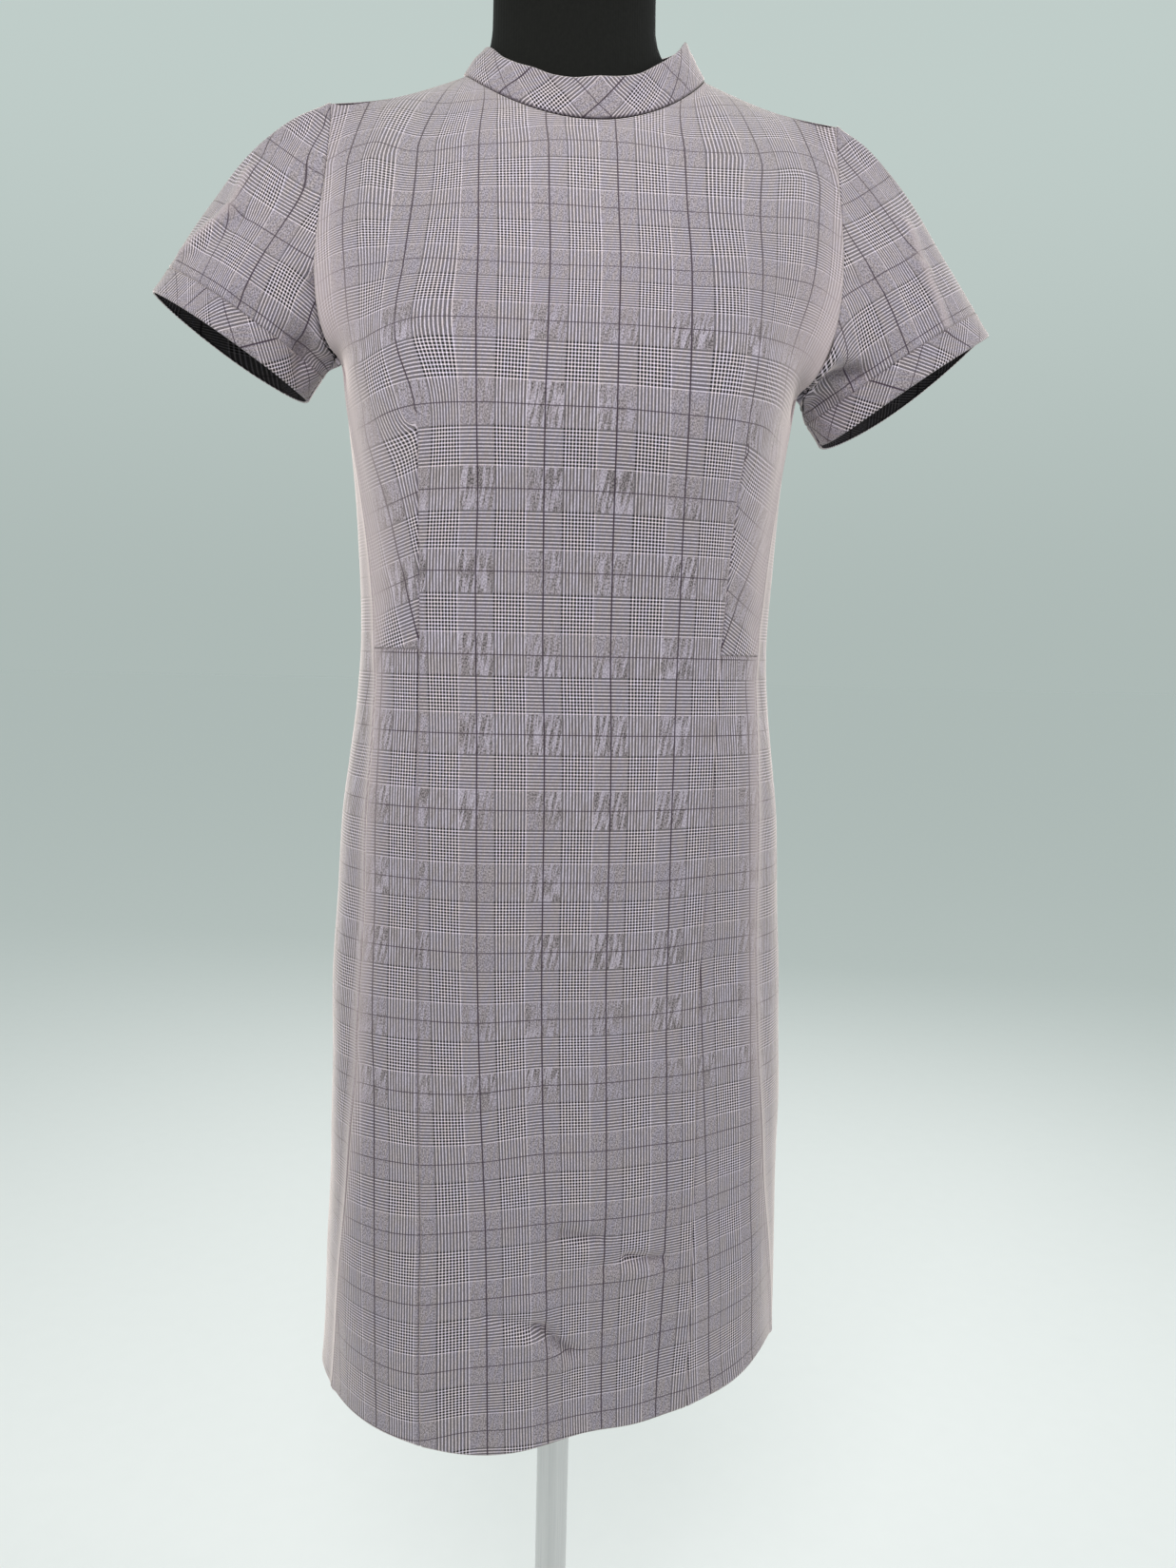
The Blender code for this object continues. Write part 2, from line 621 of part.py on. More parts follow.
def make_torso(jersey, collection):
    """The dress's own surface carried in under the cloth, with the armholes and the neck closed."""

    def girths(height, side):
        return np.concatenate([front_girths(height, side), back_girths(height, side)[1:]])

    below = np.array([row.height for row in INSETS if row.height < 0])
    pieces = [form_neck()]
    for side in SIDES:
        pieces += [
            skirt_grid(girths, side, np.append(below, 0.0)),
            upper_grid(side, True),
            upper_grid(side, False),
            arm_plate(side),
        ]
    points, faces, count = [], [], 0
    for grid in pieces:
        xyz, quads = patch(grid)
        points.append(xyz)
        faces.append(quads + count)
        count += len(xyz)
    mesh = bpy.data.meshes.new("torso_form")
    mesh.from_pydata(np.concatenate(points).tolist(), [], np.concatenate(faces).tolist())
    bm = weld(mesh, 0.001)
    # draw every point in along its normal, then round the shoulder ridges off
    bm.normal_update()
    moved = [v.co - v.normal * float(form_inset(v.co.z)) for v in bm.verts]
    for v, place in zip(bm.verts, moved):
        v.co = place
    yoke = [v for v in bm.verts if v.co.z > RIDGE_HEIGHT and abs(v.co.x) > RIDGE_OUT]
    for _ in range(3):
        bmesh.ops.smooth_vert(bm, verts=yoke, factor=0.5, use_axis_x=True, use_axis_y=True, use_axis_z=True)
    rims = [e for e in bm.edges if e.is_boundary]
    for level in (FORM_BOTTOM, NECK_TOP):
        rim = [e for e in rims if abs(e.verts[0].co.z - level) < 0.01]
        for v in {v for e in rim for v in e.verts}:
            v.co.z = level
        bmesh.ops.contextual_create(bm, geom=rim)
    bmesh.ops.recalc_face_normals(bm, faces=bm.faces)
    bmesh.ops.translate(bm, verts=bm.verts, vec=(0, 0, WAIST_Z))
    bm.to_mesh(mesh)
    bm.free()
    mesh.shade_smooth()
    add_object("torso_form", mesh, jersey, collection)


def turned(name, profile, material, collection, steps=48):
    """Solid turned about Z. profile lists (radius, z) down the outside from the top."""
    points = [(0, 0, profile[0][1]), *((radius, 0, z) for radius, z in profile), (0, 0, profile[-1][1])]
    mesh = bpy.data.meshes.new(name)
    mesh.from_pydata(points, [(i, i + 1) for i in range(len(points) - 1)], [])
    obj = add_object(name, mesh, material, collection)
    turn = obj.modifiers.new("turn", "SCREW")
    turn.steps = turn.render_steps = steps
    turn.use_merge_vertices = True
    turn.merge_threshold = 0.00005
    turn.use_smooth_shade = True
    return obj


def rounded(radius, top, bottom, fillet):
    """Profile of a plain disc with both rims rounded."""
    arc = np.linspace(0, math.pi / 2, 4)
    upper = [(radius - fillet + fillet * math.sin(a), top - fillet + fillet * math.cos(a)) for a in arc]
    lower = [(radius - fillet + fillet * math.cos(a), bottom + fillet - fillet * math.sin(a)) for a in arc]
    return upper + lower


def make_stand(steel, enamel, collection):
    under = WAIST_Z + FORM_BOTTOM - SEAM_GAP
    neck_top = WAIST_Z + NECK_TOP + SEAM_GAP
    cap_profile = rounded(NECK_WIDE - CAP_INSET, neck_top + CAP_THICK, neck_top, CAP_FILLET)
    cap = turned("form_neck_cap", cap_profile, enamel, collection)
    cap.location = (NECK_X, NECK_Y, 0)
    cap.scale = (1, (NECK_DEEP - CAP_INSET) / (NECK_WIDE - CAP_INSET), 1)

    foot = BASE_THICK + HUB_HEIGHT + SEAM_GAP
    flange = rounded(FLANGE_RADIUS, under, under - FLANGE_THICK, FLANGE_FILLET)
    pole = [(POLE_RADIUS, under - FLANGE_THICK), (POLE_RADIUS, foot)]
    turned("stand_pole", flange + pole, steel, collection, steps=32)

    hub_top = BASE_THICK + HUB_HEIGHT
    hub = [(HUB_RADIUS - HUB_FILLET, hub_top), (HUB_RADIUS, hub_top - HUB_FILLET), (HUB_RADIUS, BASE_THICK)]
    disc = rounded(BASE_RADIUS, BASE_THICK, 0.0, BASE_FILLET)
    turned("stand_base", hub + disc, steel, collection, steps=72)


def block(name, low, high):
    """Box between two corners."""
    size = [b - a for a, b in zip(low, high)]
    middle = [(a + b) / 2 for a, b in zip(low, high)]
    bm = bmesh.new()
    bmesh.ops.create_cube(bm, size=1, matrix=Matrix.Translation(middle) @ Matrix.Diagonal((*size, 1)))
    mesh = bpy.data.meshes.new(name)
    bm.to_mesh(mesh)
    bm.free()
    return mesh


def rod(name, radius, half_length, steps=20):
    """Cylinder along X through the origin."""
    bm = bmesh.new()
    turn = Matrix.Rotation(math.pi / 2, 4, "Y")
    bmesh.ops.create_cone(
        bm, cap_ends=True, segments=steps, radius1=radius, radius2=radius, depth=2 * half_length, matrix=turn
    )
    mesh = bpy.data.meshes.new(name)
    bm.to_mesh(mesh)
    bm.free()
    return mesh


def cut_or_join(obj, tool_mesh, operation, cutters):
    tool = bpy.data.objects.new(f"{obj.name}_{operation.lower()}", tool_mesh)
    tool.hide_render = True
    tool.display_type = "WIRE"
    tool.matrix_world = obj.matrix_world
    cutters.objects.link(tool)
    change = obj.modifiers.new(tool.name, "BOOLEAN")
    change.object = tool
    change.operation = operation
    change.solver = "EXACT"


def make_zip(steel, collection, cutters):
    """Slider at the top of the centre back opening and the flat pull that hangs from its pin.

    Both are drawn with the pin on the X axis, +Y away from the cloth and -Z down the zip, then tilted to
    lie along the collar.
    """
    lean, rise = COLLAR_LEAN, math.sqrt(COLLAR_HEIGHT**2 - COLLAR_LEAN**2)
    tilt = math.atan2(lean, rise)
    down = np.array([0, math.sin(tilt), -math.cos(tilt)])
    out = np.array([0, math.cos(tilt), math.sin(tilt)])
    top = np.array(NECK_BACK) + [0, -lean, rise + WAIST_Z]
    pin = top + down * PIN_DOWN + out * PIN_OUT
    place = Matrix.Translation(pin.tolist()) @ Euler((tilt, 0, 0)).to_matrix().to_4x4()

    face = SEAM_GAP - PIN_OUT
    low, high = (-PULL_HALF, face, -SLIDER_BELOW), (PULL_HALF, face + SLIDER_THICK, SLIDER_ABOVE)
    slider = add_object("zip_slider", block("zip_slider", low, high), steel, collection)
    slider.matrix_world = place
    for sign in (-1, 1):
        near, far = sorted((sign * EAR_IN, sign * EAR_OUT))
        ear = block("ear", (near, face + SLIDER_THICK / 2, -EAR_HALF), (far, EAR_HALF, EAR_HALF))
        cut_or_join(slider, ear, "UNION", cutters)
    cut_or_join(slider, rod("pin", PIN_RADIUS, (EAR_IN + EAR_OUT) / 2), "UNION", cutters)

    half_neck, half_thick = EAR_IN - 0.0005, PULL_THICK / 2
    neck = block("zip_pull", (-half_neck, -half_thick, -NECK_LENGTH), (half_neck, half_thick, -EYE_INNER))
    pull = add_object("zip_pull", neck, steel, collection)
    pull.matrix_world = place
    thicker = half_thick + 0.0001
    leaf = block("leaf", (-PULL_HALF, -thicker, -PULL_LENGTH), (PULL_HALF, thicker, 0.0005 - NECK_LENGTH))
    cut_or_join(pull, leaf, "UNION", cutters)
    cut_or_join(pull, rod("barrel", EYE_OUTER, EAR_IN - SEAM_GAP), "UNION", cutters)
    cut_or_join(pull, rod("eye", EYE_INNER, 2 * EAR_OUT), "DIFFERENCE", cutters)


def new_collection(name):
    collection = bpy.data.collections.new(name)
    bpy.context.scene.collection.children.link(collection)
    return collection


def main():
    for obj in list(bpy.data.objects):
        bpy.data.objects.remove(obj, do_unlink=True)
    collection = new_collection("shift_dress")
    cutters = new_collection("cutters")
    cutters.hide_render = True
    cloth = new_material("checked_suiting", (0.42, 0.37, 0.40), 0.85)
    jersey = new_material("black_jersey", (0.02, 0.02, 0.02), 0.90)
    steel = new_material("satin_steel", (0.62, 0.62, 0.62), 0.35, 1.0)
    enamel = new_material("black_enamel", (0.03, 0.03, 0.03), 0.45)
    body = [front_piece()] + [make(side) for side in SIDES for make in (skirt_side_piece, back_piece)]
    for pieces in (body, sleeve_pieces(SIDES[0]), sleeve_pieces(SIDES[1]), [Piece("collar", collar_grid())]):
        add_cloth(pieces, cloth, collection)
    make_torso(jersey, collection)
    make_stand(steel, enamel, collection)
    make_zip(steel, collection, cutters)


main()
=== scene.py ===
# %% [markdown]
# # A checked shift dress on a dress form
#
# A knee-length dress of fine glen check suiting on a black limbless form and a steel stand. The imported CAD
# model is loaded first and never moves. Every cloth piece below is a thin shell where its solid stands,
# with seams, darts, creases and a woven check added.

import json
import math
from collections import namedtuple

import bmesh
import bpy
import numpy as np
from mathutils import Euler, Matrix, Vector


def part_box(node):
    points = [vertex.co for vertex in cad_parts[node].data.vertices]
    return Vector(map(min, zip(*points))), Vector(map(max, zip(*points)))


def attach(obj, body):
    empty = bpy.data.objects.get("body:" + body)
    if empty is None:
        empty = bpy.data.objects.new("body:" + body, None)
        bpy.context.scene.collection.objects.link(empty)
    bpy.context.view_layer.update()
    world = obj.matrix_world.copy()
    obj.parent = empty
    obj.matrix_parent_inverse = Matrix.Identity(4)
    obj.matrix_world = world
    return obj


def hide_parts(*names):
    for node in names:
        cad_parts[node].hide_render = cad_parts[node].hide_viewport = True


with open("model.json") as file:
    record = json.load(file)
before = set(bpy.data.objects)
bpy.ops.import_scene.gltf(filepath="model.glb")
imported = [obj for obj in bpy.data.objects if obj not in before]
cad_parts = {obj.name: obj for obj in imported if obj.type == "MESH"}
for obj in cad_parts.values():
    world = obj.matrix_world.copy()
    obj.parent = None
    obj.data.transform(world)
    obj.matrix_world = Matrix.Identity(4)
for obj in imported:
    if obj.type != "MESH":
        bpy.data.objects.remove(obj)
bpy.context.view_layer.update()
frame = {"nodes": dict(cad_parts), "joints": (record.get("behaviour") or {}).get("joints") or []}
print("solids:", sorted(frame["nodes"]))

# %% [markdown]
# ## Camera
#
# The camera stands at waist height, a little to one side, looks slightly down and isn't quite level.

# %% Camera
WAIST_Z = 1.030  # height of the waist seam over the floor
CAMERA_AT = (-0.055, -0.859, 1.030)
HEADING, PITCH_DOWN, ROLL = 4.75, 6.5, 1.3  # degrees: from +Y towards +X, down, and clockwise
LENS = 26.4  # millimetres, on the long side of a 36 mm sensor


def linked(name, data):
    """A new object in the scene."""
    obj = bpy.data.objects.new(name, data)
    bpy.context.scene.collection.objects.link(obj)
    return obj


camera_data = bpy.data.cameras.new("camera")
camera_data.lens, camera_data.clip_start = LENS, 0.05
camera = linked("camera", camera_data)
aimed = Euler((math.radians(90 - PITCH_DOWN), 0, -math.radians(HEADING))).to_matrix()
rolled = aimed @ Matrix.Rotation(math.radians(ROLL), 3, "Z")
camera.matrix_world = Matrix.Translation(CAMERA_AT) @ rolled.to_4x4()
bpy.context.scene.camera = camera
print("camera at", CAMERA_AT)

# %% [markdown]
# ## Materials from nodes
#
# A small helper adds a node, sets its sockets and joins it up, so that each material reads like a recipe.
# Sockets are found by name or number; a value that is a socket is linked, any other is set.


# %% Node helper
class Recipe:
    """The nodes of one material, or of the world, added one at a time."""

    def __init__(self, owner, shader="Principled BSDF"):
        self.owner = owner
        owner.use_nodes = True
        self.tree = owner.node_tree
        self.shader = self.tree.nodes[shader]

    def add(self, kind, out=0, values=None, **settings):
        node = self.tree.nodes.new("ShaderNode" + kind)
        for key, value in settings.items():
            setattr(node, key, value)
        for socket, value in (values or {}).items():
            self.feed(node.inputs[socket], value)
        return node.outputs[out]

    def feed(self, socket, value):
        if isinstance(value, bpy.types.NodeSocket):
            self.tree.links.new(value, socket)
        else:
            socket.default_value = value

    def math(self, operation, a, b=0.0, c=0.0):
        return self.add("Math", operation=operation, values={0: a, 1: b, 2: c})

    def times(self, a, b):
        return self.math("MULTIPLY", a, b)

    def sum(self, start, *shares):
        """The start plus every value times its weight."""
        for value, weight in shares:
            start = self.math("MULTIPLY_ADD", value, weight, start)
        return start

    def sine(self, place, pitch):
        return self.math("SINE", self.times(place, 2 * math.pi / pitch))

    def between(self, value, low, high):
        """0 below low, 1 above high and smooth in between."""
        sockets = {"Value": value, "From Min": low, "From Max": high}
        return self.add("MapRange", values=sockets, interpolation_type="SMOOTHSTEP")

    def mix(self, share, a, b, blend="MIX"):
        values = {0: share, 6: a, 7: b}
        return self.add("Mix", out=2, values=values, data_type="RGBA", blend_type=blend)

    def object_place(self):
        return self.add("TexCoord", out=3)

    def stretched(self, place, x, y, z=1.0):
        return self.add("Mapping", values={"Vector": place, "Scale": (x, y, z)})

    def noise(self, place, scale, detail=2.0):
        return self.add("TexNoise", values={"Vector": place, "Scale": scale, "Detail": detail})

    def bump(self, height, strength, distance):
        values = {"Height": height, "Strength": strength, "Distance": distance}
        self.feed(self.shader.inputs["Normal"], self.add("Bump", values=values))

    def finish(self, **values):
        for name, value in values.items():
            self.feed(self.shader.inputs[name.replace("_", " ")], value)
        return self.owner


def shaded(colour, shade):
    return (*(part * shade for part in colour), 1)


# %% [markdown]
# ## The woven check
#
# Glen check is one rule used both ways: a stretch of fine dark and pale stripes, then a plain stretch with
# a dark overcheck line down its middle. Each place is half warp and half weft, so its colour is the mean of
# two stripe rules, one read along U and one along V. The UV map holds metres along the cloth, so the check
# follows every dart and seam. The pieces also carry two numbers of painted light: painted_sheen is a painted
# sheen, pale and without a check, beside the side seams and along pressed folds, and seam is painted shade
# in the groove of a seam and at the bottom of a deep crease.

# %% Check
Stripes = namedtuple("Stripes", "repeat band pitch line")
WARP = Stripes(repeat=45.0, band=21.6, pitch=2.16, line=1.0)  # millimetres across the cloth
WEFT = Stripes(repeat=50.8, band=24.3, pitch=2.21, line=0.7)  # millimetres along it
PALE, DARK, MEAN = 0.82, 0.006, 0.265  # light that the pale yarns, the dark yarns and their mix give back
STREAKY = (-330, 225)  # millimetres from the waist: in between, the weft's plain parts are streaky
STREAK_LEAN = -0.16
PINHEAD = 1.35  # millimetres between the dots where plain crosses plain, and between the twill's ribs
# the pale yarn's two casts, the overcheck yarn, which also tints the painted shade of grooves, and the pale
# beige of the painted sheen
ROSE, LILAC, PLUM, SHEEN_PAINT_COLOUR = (1.0, 0.86, 0.92), (0.95, 0.84, 0.99), (0.04, 0.025, 0.04), (0.44, 0.37, 0.38)


def stripe_rule(recipe, place, stripes):
    """(how pale the yarns are, how much is band and not plain, how much is the overcheck line).

    The place is counted from the line. The stripe is a sine cut off hard at the pale and the dark yarn's
    values, shown only inside its band, which lies opposite the line.
    """
    along = recipe.math("FLOORED_MODULO", place, stripes.repeat)
    off_band = recipe.math("ABSOLUTE", recipe.math("SUBTRACT", along, stripes.repeat / 2))
    in_band = recipe.between(off_band, stripes.band / 2 + 0.2, stripes.band / 2 - 0.2)
    hard = recipe.sum(-1.5, (recipe.sine(along, stripes.pitch), 3.4))
    cut_off = recipe.add("Clamp", values={"Value": hard, "Min": -1.0, "Max": 1.0})
    stripe = recipe.sum((PALE + DARK) / 2 - MEAN, (cut_off, (PALE - DARK) / 2))
    striped = recipe.sum(MEAN, (recipe.times(stripe, in_band), 1.0))
    off_line = recipe.math("SUBTRACT", stripes.repeat / 2, off_band)
    line = recipe.between(off_line, stripes.line / 2 + 0.25, stripes.line / 2 - 0.25)
    return striped, in_band, line


def suiting(name, shade, sheen):
    """Check material, its colours shade times as bright as on the right side: a shade below 1 is painted
    shade.
    """
    recipe = Recipe(bpy.data.materials.new(name))
    uv = recipe.add("UVMap", uv_map="cloth")
    place = recipe.add("VectorMath", operation="SCALE", values={0: uv, "Scale": 1000.0})
    across, along = (recipe.add("SeparateXYZ", out=k, values={0: place}) for k in (0, 1))
    warp, warp_band, warp_line = stripe_rule(recipe, across, WARP)
    weft, weft_band, weft_line = stripe_rule(recipe, along, WEFT)
    woven = recipe.sum(0.0, (warp, 0.5), (weft, 0.5))
    plain = recipe.math("SUBTRACT", 1.0, recipe.math("MAXIMUM", warp_band, weft_band))

    # yarns are uneven: a pepper of about a millimetre, and slubs drawn out along the warp
    pepper = recipe.between(recipe.noise(recipe.stretched(place, 1.25, 0.80), 1.0), 0.36, 0.64)
    slub = recipe.noise(recipe.stretched(place, 1.1, 0.16), 1.0)
    # plain over plain is the most uneven: pinhead dots, more pepper, and in places streaks two yarns wide
    dots = recipe.times(recipe.sine(across, PINHEAD), recipe.sine(along, PINHEAD))
    leaning = recipe.sum(across, (along, STREAK_LEAN))
    leaning = recipe.add("CombineXYZ", values={0: leaning, 1: along})
    streak = recipe.between(recipe.noise(recipe.stretched(leaning, 0.48, 0.050), 1.0), 0.40, 0.60)
    where = recipe.between(recipe.noise(place, 0.011, 1.0), 0.34, 0.54)
    where = recipe.times(where, recipe.sum(1.0, (weft_band, -1.0), (warp_band, -0.65)))
    for limit in STREAKY:
        where = recipe.times(where, recipe.between(along, limit, limit * 0.88))
    streaky = recipe.times(recipe.sum(-0.38, (streak, 0.82)), recipe.math("MAXIMUM", where, 0.0))
    peppered = recipe.times(plain, recipe.sum(-0.27, (dots, 0.15), (pepper, 0.60)))
    rib = recipe.sine(recipe.math("ADD", across, along), PINHEAD)
    shares = (pepper, 0.28), (slub, 0.40), (peppered, 1.0), (streaky, 1.0), (rib, 0.04)
    uneven_yarn = recipe.sum(0.66, *shares)

    # the pale yarn's cast drifts slowly, and from streak to streak
    cast = recipe.sum(-0.6, (recipe.noise(place, 0.014), 1.2), (streak, 1.0))
    pale = recipe.mix(cast, shaded(ROSE, shade), shaded(LILAC, shade))
    level = recipe.times(woven, uneven_yarn)
    grey = recipe.add("CombineColor", values={0: level, 1: level, 2: level})
    body = recipe.mix(1.0, pale, grey, blend="MULTIPLY")
    line = recipe.math("MAXIMUM", recipe.times(warp_line, 0.95), recipe.times(weft_line, 0.85))
    lined = recipe.mix(line, body, shaded(PLUM, shade))
    # painted light from two point attributes: the painted sheen mixes in a pale beige, and seam mixes in
    # painted shade at grooves and deep creases
    seam, painted_sheen = (recipe.add("Attribute", out=2, attribute_name=each) for each in ("seam", "painted_sheen"))
    with_painted_sheen = recipe.mix(painted_sheen, lined, shaded(SHEEN_PAINT_COLOUR, shade))
    recipe.bump(recipe.sum(0.0, (woven, 0.6), (uneven_yarn, 0.8)), 0.35, 0.0003)
    return recipe.finish(
        Base_Color=recipe.mix(recipe.times(seam, 0.8), with_painted_sheen, shaded(PLUM, shade)),
        Roughness=0.92,
        Specular_IOR_Level=0.2,
        Sheen_Weight=sheen,
        Sheen_Roughness=0.40,
        Sheen_Tint=(1.0, 0.88, 0.84, 1),
    )


suiting_face = suiting("suiting_face", 1.0, 1.0)
# the reverse is the same check with painted shade, 0.14 times as bright, for the shade inside the sleeves
# and the skirt
suiting_reverse_painted_shade = suiting("suiting_reverse_painted_shade", 0.14, 0.0)
print("check repeats every", WARP.repeat, "by", WEFT.repeat, "mm")

# %% [markdown]
# ## From a net of points to smooth cloth
#
# A garment is planned as a coarse net: a few heights by a few places round the body. A cubic through its
# points, first up the columns and then along the rows, gives as many points as creases and seams need.

# %% Curves
NEAR_SEAM = np.array([0.0, 0.0005, 0.0010, 0.0016, 0.0026, 0.0040])  # extra lines of points beside a seam


def length_of(steps):
    return np.linalg.norm(steps, axis=-1)


def joined(*parts):
    """Parts side by side on the last axis of one array."""
    return np.stack(np.broadcast_arrays(*parts), axis=-1)


def bell(distance, width):
    return np.exp(-((distance / width) ** 2))


def eased(value):
    """3 t^2 - 2 t^3, where t is the value cut off at 0 and 1."""
    t = np.clip(value, 0, 1)
    return t * t * (3 - 2 * t)


def rotated(x, y, angle):
    return x * np.cos(angle) - y * np.sin(angle), x * np.sin(angle) + y * np.cos(angle)


def hermite(a, leave, b, arrive, t):
    """Cubic from a to b that leaves along `leave` and arrives along `arrive`; t is 0 to 1."""
    far, out, back = 3 * t**2 - 2 * t**3, t**3 - 2 * t**2 + t, t**3 - t**2
    return (1 - far) * a + out * leave + far * b + back * arrive


def through(at, xs, ys):
    """Smooth curve through the points (xs, ys), read at the places `at`. ys may hold whole rows."""
    xs, ys, at = np.asarray(xs, float), np.asarray(ys, float), np.asarray(at, float)
    slope = np.gradient(ys, xs, axis=0)
    i = np.clip(np.searchsorted(xs, at) - 1, 0, len(xs) - 2)
    wide = (...,) + (None,) * (ys.ndim - 1)
    span = (xs[i + 1] - xs[i])[wide]
    t = np.clip((at - xs[i])[wide] / span, 0, 1)
    return hermite(ys[i], slope[i] * span, ys[i + 1], slope[i + 1] * span, t)


def dense(net, at_row, rows, at_column, columns):
    """The net's values at more rows, and then at more columns."""
    up = through(at_row, rows, net)
    return np.swapaxes(through(at_column, columns, np.swapaxes(up, 0, 1)), 0, 1)


def places_along(net, axis):
    """Mean distance of each of the net's rows, or columns, from the first one."""
    steps = length_of(np.diff(net, axis=axis)).mean(axis=1 - axis)
    return np.concatenate([[0], np.cumsum(steps)])


def places_with_seams(total, seams, pitch):
    """Evenly spaced places from 0 to total, closer together beside each seam."""
    even = np.linspace(0, total, max(2, round(total / pitch) + 1))
    close = np.concatenate([[seam - NEAR_SEAM, seam + NEAR_SEAM] for seam in seams], axis=None)
    close = close[(close >= 0) & (close <= total)]
    gap = np.abs(even[:, None] - close[None]).min(axis=1)
    clear = gap > pitch * 0.35
    clear[[0, -1]] = gap[[0, -1]] > 1e-6
    return np.unique(np.round(np.concatenate([even[clear], close]), 7))


# %% [markdown]
# ## The tube of the dress
#
# Below the underarms the dress is one tube, a table of level sections. Each is a rounded box, turned and
# shifted. A place on it is a height over the waist seam and a girth position, which is the distance along
# the section from centre front, positive towards the wearer's left.

# %% Sections
HEM = -0.567
Section = namedtuple("Section", "height half_width front back side_x side_y squareness turn slip front_half")
SECTIONS = np.array(
    [
        (HEM, 0.183, 0.142, 0.080, 0.005, 0.047, 2.4, 9.0, -0.016, 0.204),
        (-0.400, 0.178, 0.114, 0.096, 0.002, 0.024, 2.3, 7.0, -0.012, 0.170),
        (-0.250, 0.172, 0.094, 0.104, 0.000, 0.008, 2.2, 5.0, -0.009, 0.151),
        (-0.120, 0.163, 0.095, 0.108, -0.002, 0.002, 2.3, 4.0, -0.007, 0.147),
        (0.000, 0.149, 0.100, 0.088, -0.003, 0.000, 2.4, 3.0, -0.005, 0.145),
        (0.080, 0.151, 0.112, 0.086, -0.003, 0.000, 2.4, 1.5, -0.004, 0.157),
        (0.150, 0.156, 0.126, 0.094, -0.003, 0.000, 2.35, 0.5, -0.003, 0.185),
        (0.200, 0.163, 0.125, 0.102, -0.002, 0.000, 2.3, 0.0, -0.002, 0.212),
    ]
)
FOLD_TOP = -0.300  # the hem's folds start here
Fold = namedtuple("Fold", "girth width out lift")
HEM_FOLDS = (
    Fold(-0.200, 0.070, 0.000, 0.004),
    Fold(-0.075, 0.050, 0.003, 0.001),
    Fold(0.020, 0.040, -0.004, 0.006),
    Fold(0.095, 0.045, -0.004, 0.010),
    Fold(0.190, 0.060, 0.002, 0.027),
)


def section_at(height):
    """The table's columns read at any heights, as arrays of the same shape."""
    rows = through(np.ravel(height), SECTIONS[:, 0], SECTIONS)
    return Section(*(column.reshape(np.shape(height)) for column in rows.T))


def box_round(value, power):
    """|value|^power with the value's sign: rounds a circle's sine or cosine towards a box."""
    return np.sign(value) * np.abs(value) ** power


def ring(section, steps=720):
    """(girth position, x, y) round each section, from centre back by the left side to centre back.

    x = w |sin a|^(2/n) and y = d |cos a|^(2/n), with their signs, then turned about the middle.
    """
    angle = np.linspace(-math.pi, math.pi, steps + 1)
    section = Section(*(np.asarray(field)[..., None] for field in section))
    power = 2 / section.squareness
    deep = np.where(np.cos(angle) > 0, section.front, section.back)
    x = box_round(np.sin(angle), power) * section.half_width
    y = section.side_y - box_round(np.cos(angle), power) * deep
    x, y = rotated(x, y, np.radians(section.turn))
    x = x + section.side_x
    along = np.cumsum(np.hypot(np.diff(x, axis=-1), np.diff(y, axis=-1)), axis=-1)
    along = np.concatenate([np.zeros_like(along[..., :1]), along], axis=-1)
    return along - along[..., steps // 2, None], x, y


def girth_of(height):
    """Length of the whole section."""
    along = ring(section_at(height))[0]
    return along[..., -1] - along[..., 0]


def hem_fold(girth, height, field):
    """How far the folds carry the cloth out, or lift it: bells round the hem that fade out upwards."""
    bells = sum(getattr(fold, field) * bell(girth - fold.girth, fold.width) for fold in HEM_FOLDS)
    return eased((FOLD_TOP - height) / (FOLD_TOP - HEM)) * bells


def tube(height, girth):
    """Points of the tube at arrays of heights and girth positions.

    Each place's own section is measured round. The sections are laid end to end on one long line, far
    apart, so that one interpolation reads all the points.
    """
    shape = np.shape(girth)
    height, girth = np.ravel(np.broadcast_to(height, shape)), np.ravel(girth)
    section = section_at(height)
    along, x, y = ring(section)
    start, lap = along[:, 0], along[:, -1] - along[:, 0]
    apart = np.arange(len(girth)) * 10.0
    line = (along + apart[:, None]).ravel()
    place = (girth + section.slip - start) % lap + start + apart
    point = joined(*(np.interp(place, line, each.ravel()) for each in (x, y)), height)
    girth = (girth - start) % lap + start
    from_middle = point - joined(section.side_x, section.side_y, height)
    point += from_middle * (hem_fold(girth, height, "out") / length_of(from_middle))[:, None]
    point[:, 2] += hem_fold(girth, height, "lift")
    return point.reshape(*shape, 3)


print("girth at bust, waist and hem:", np.round(girth_of(np.array([0.2, 0.0, HEM])), 3))

# %% [markdown]
# ## The upper body
#
# Above the underarms every girth position carries on as a curve to the neckline or the shoulder seam.
# `across` is 0 at the centre line, 1 at the neck corner above the dart and 2 at the side seam and armhole.

# %% Neckline, shoulders and columns
SIDE_FIELDS = "name sign neck_x neck_z tip_x tip_z arm_z cuff_out_x cuff_out_z cuff_in_x cuff_in_z cap"
Side = namedtuple("Side", SIDE_FIELDS)
RIGHT = Side("right", -1, 0.083, 0.403, 0.175, 0.380, 0.197, 0.296, 0.242, 0.191, 0.174, 0.15)
LEFT = Side("left", 1, 0.090, 0.410, 0.188, 0.385, 0.184, 0.305, 0.240, 0.184, 0.156, -0.20)
NECK_FRONT = np.array([0.005, -0.050, 0.354])
NECK_BACK = np.array([0.004, 0.082, 0.418])
SHOULDER_Y, SHOULDER_HOLLOW = 0.012, 0.004
PANEL_HALF = 0.105  # half width of the centre skirt panel, and girth position of the darts
CENTRE_COLUMNS, SIDE_COLUMNS = 8, 6
BACK_COLUMNS = CENTRE_COLUMNS + SIDE_COLUMNS - 2  # from centre back to a side seam
SKIRT_ROWS, BODICE_ROWS, YOKE_ROWS = 15, 6, 11
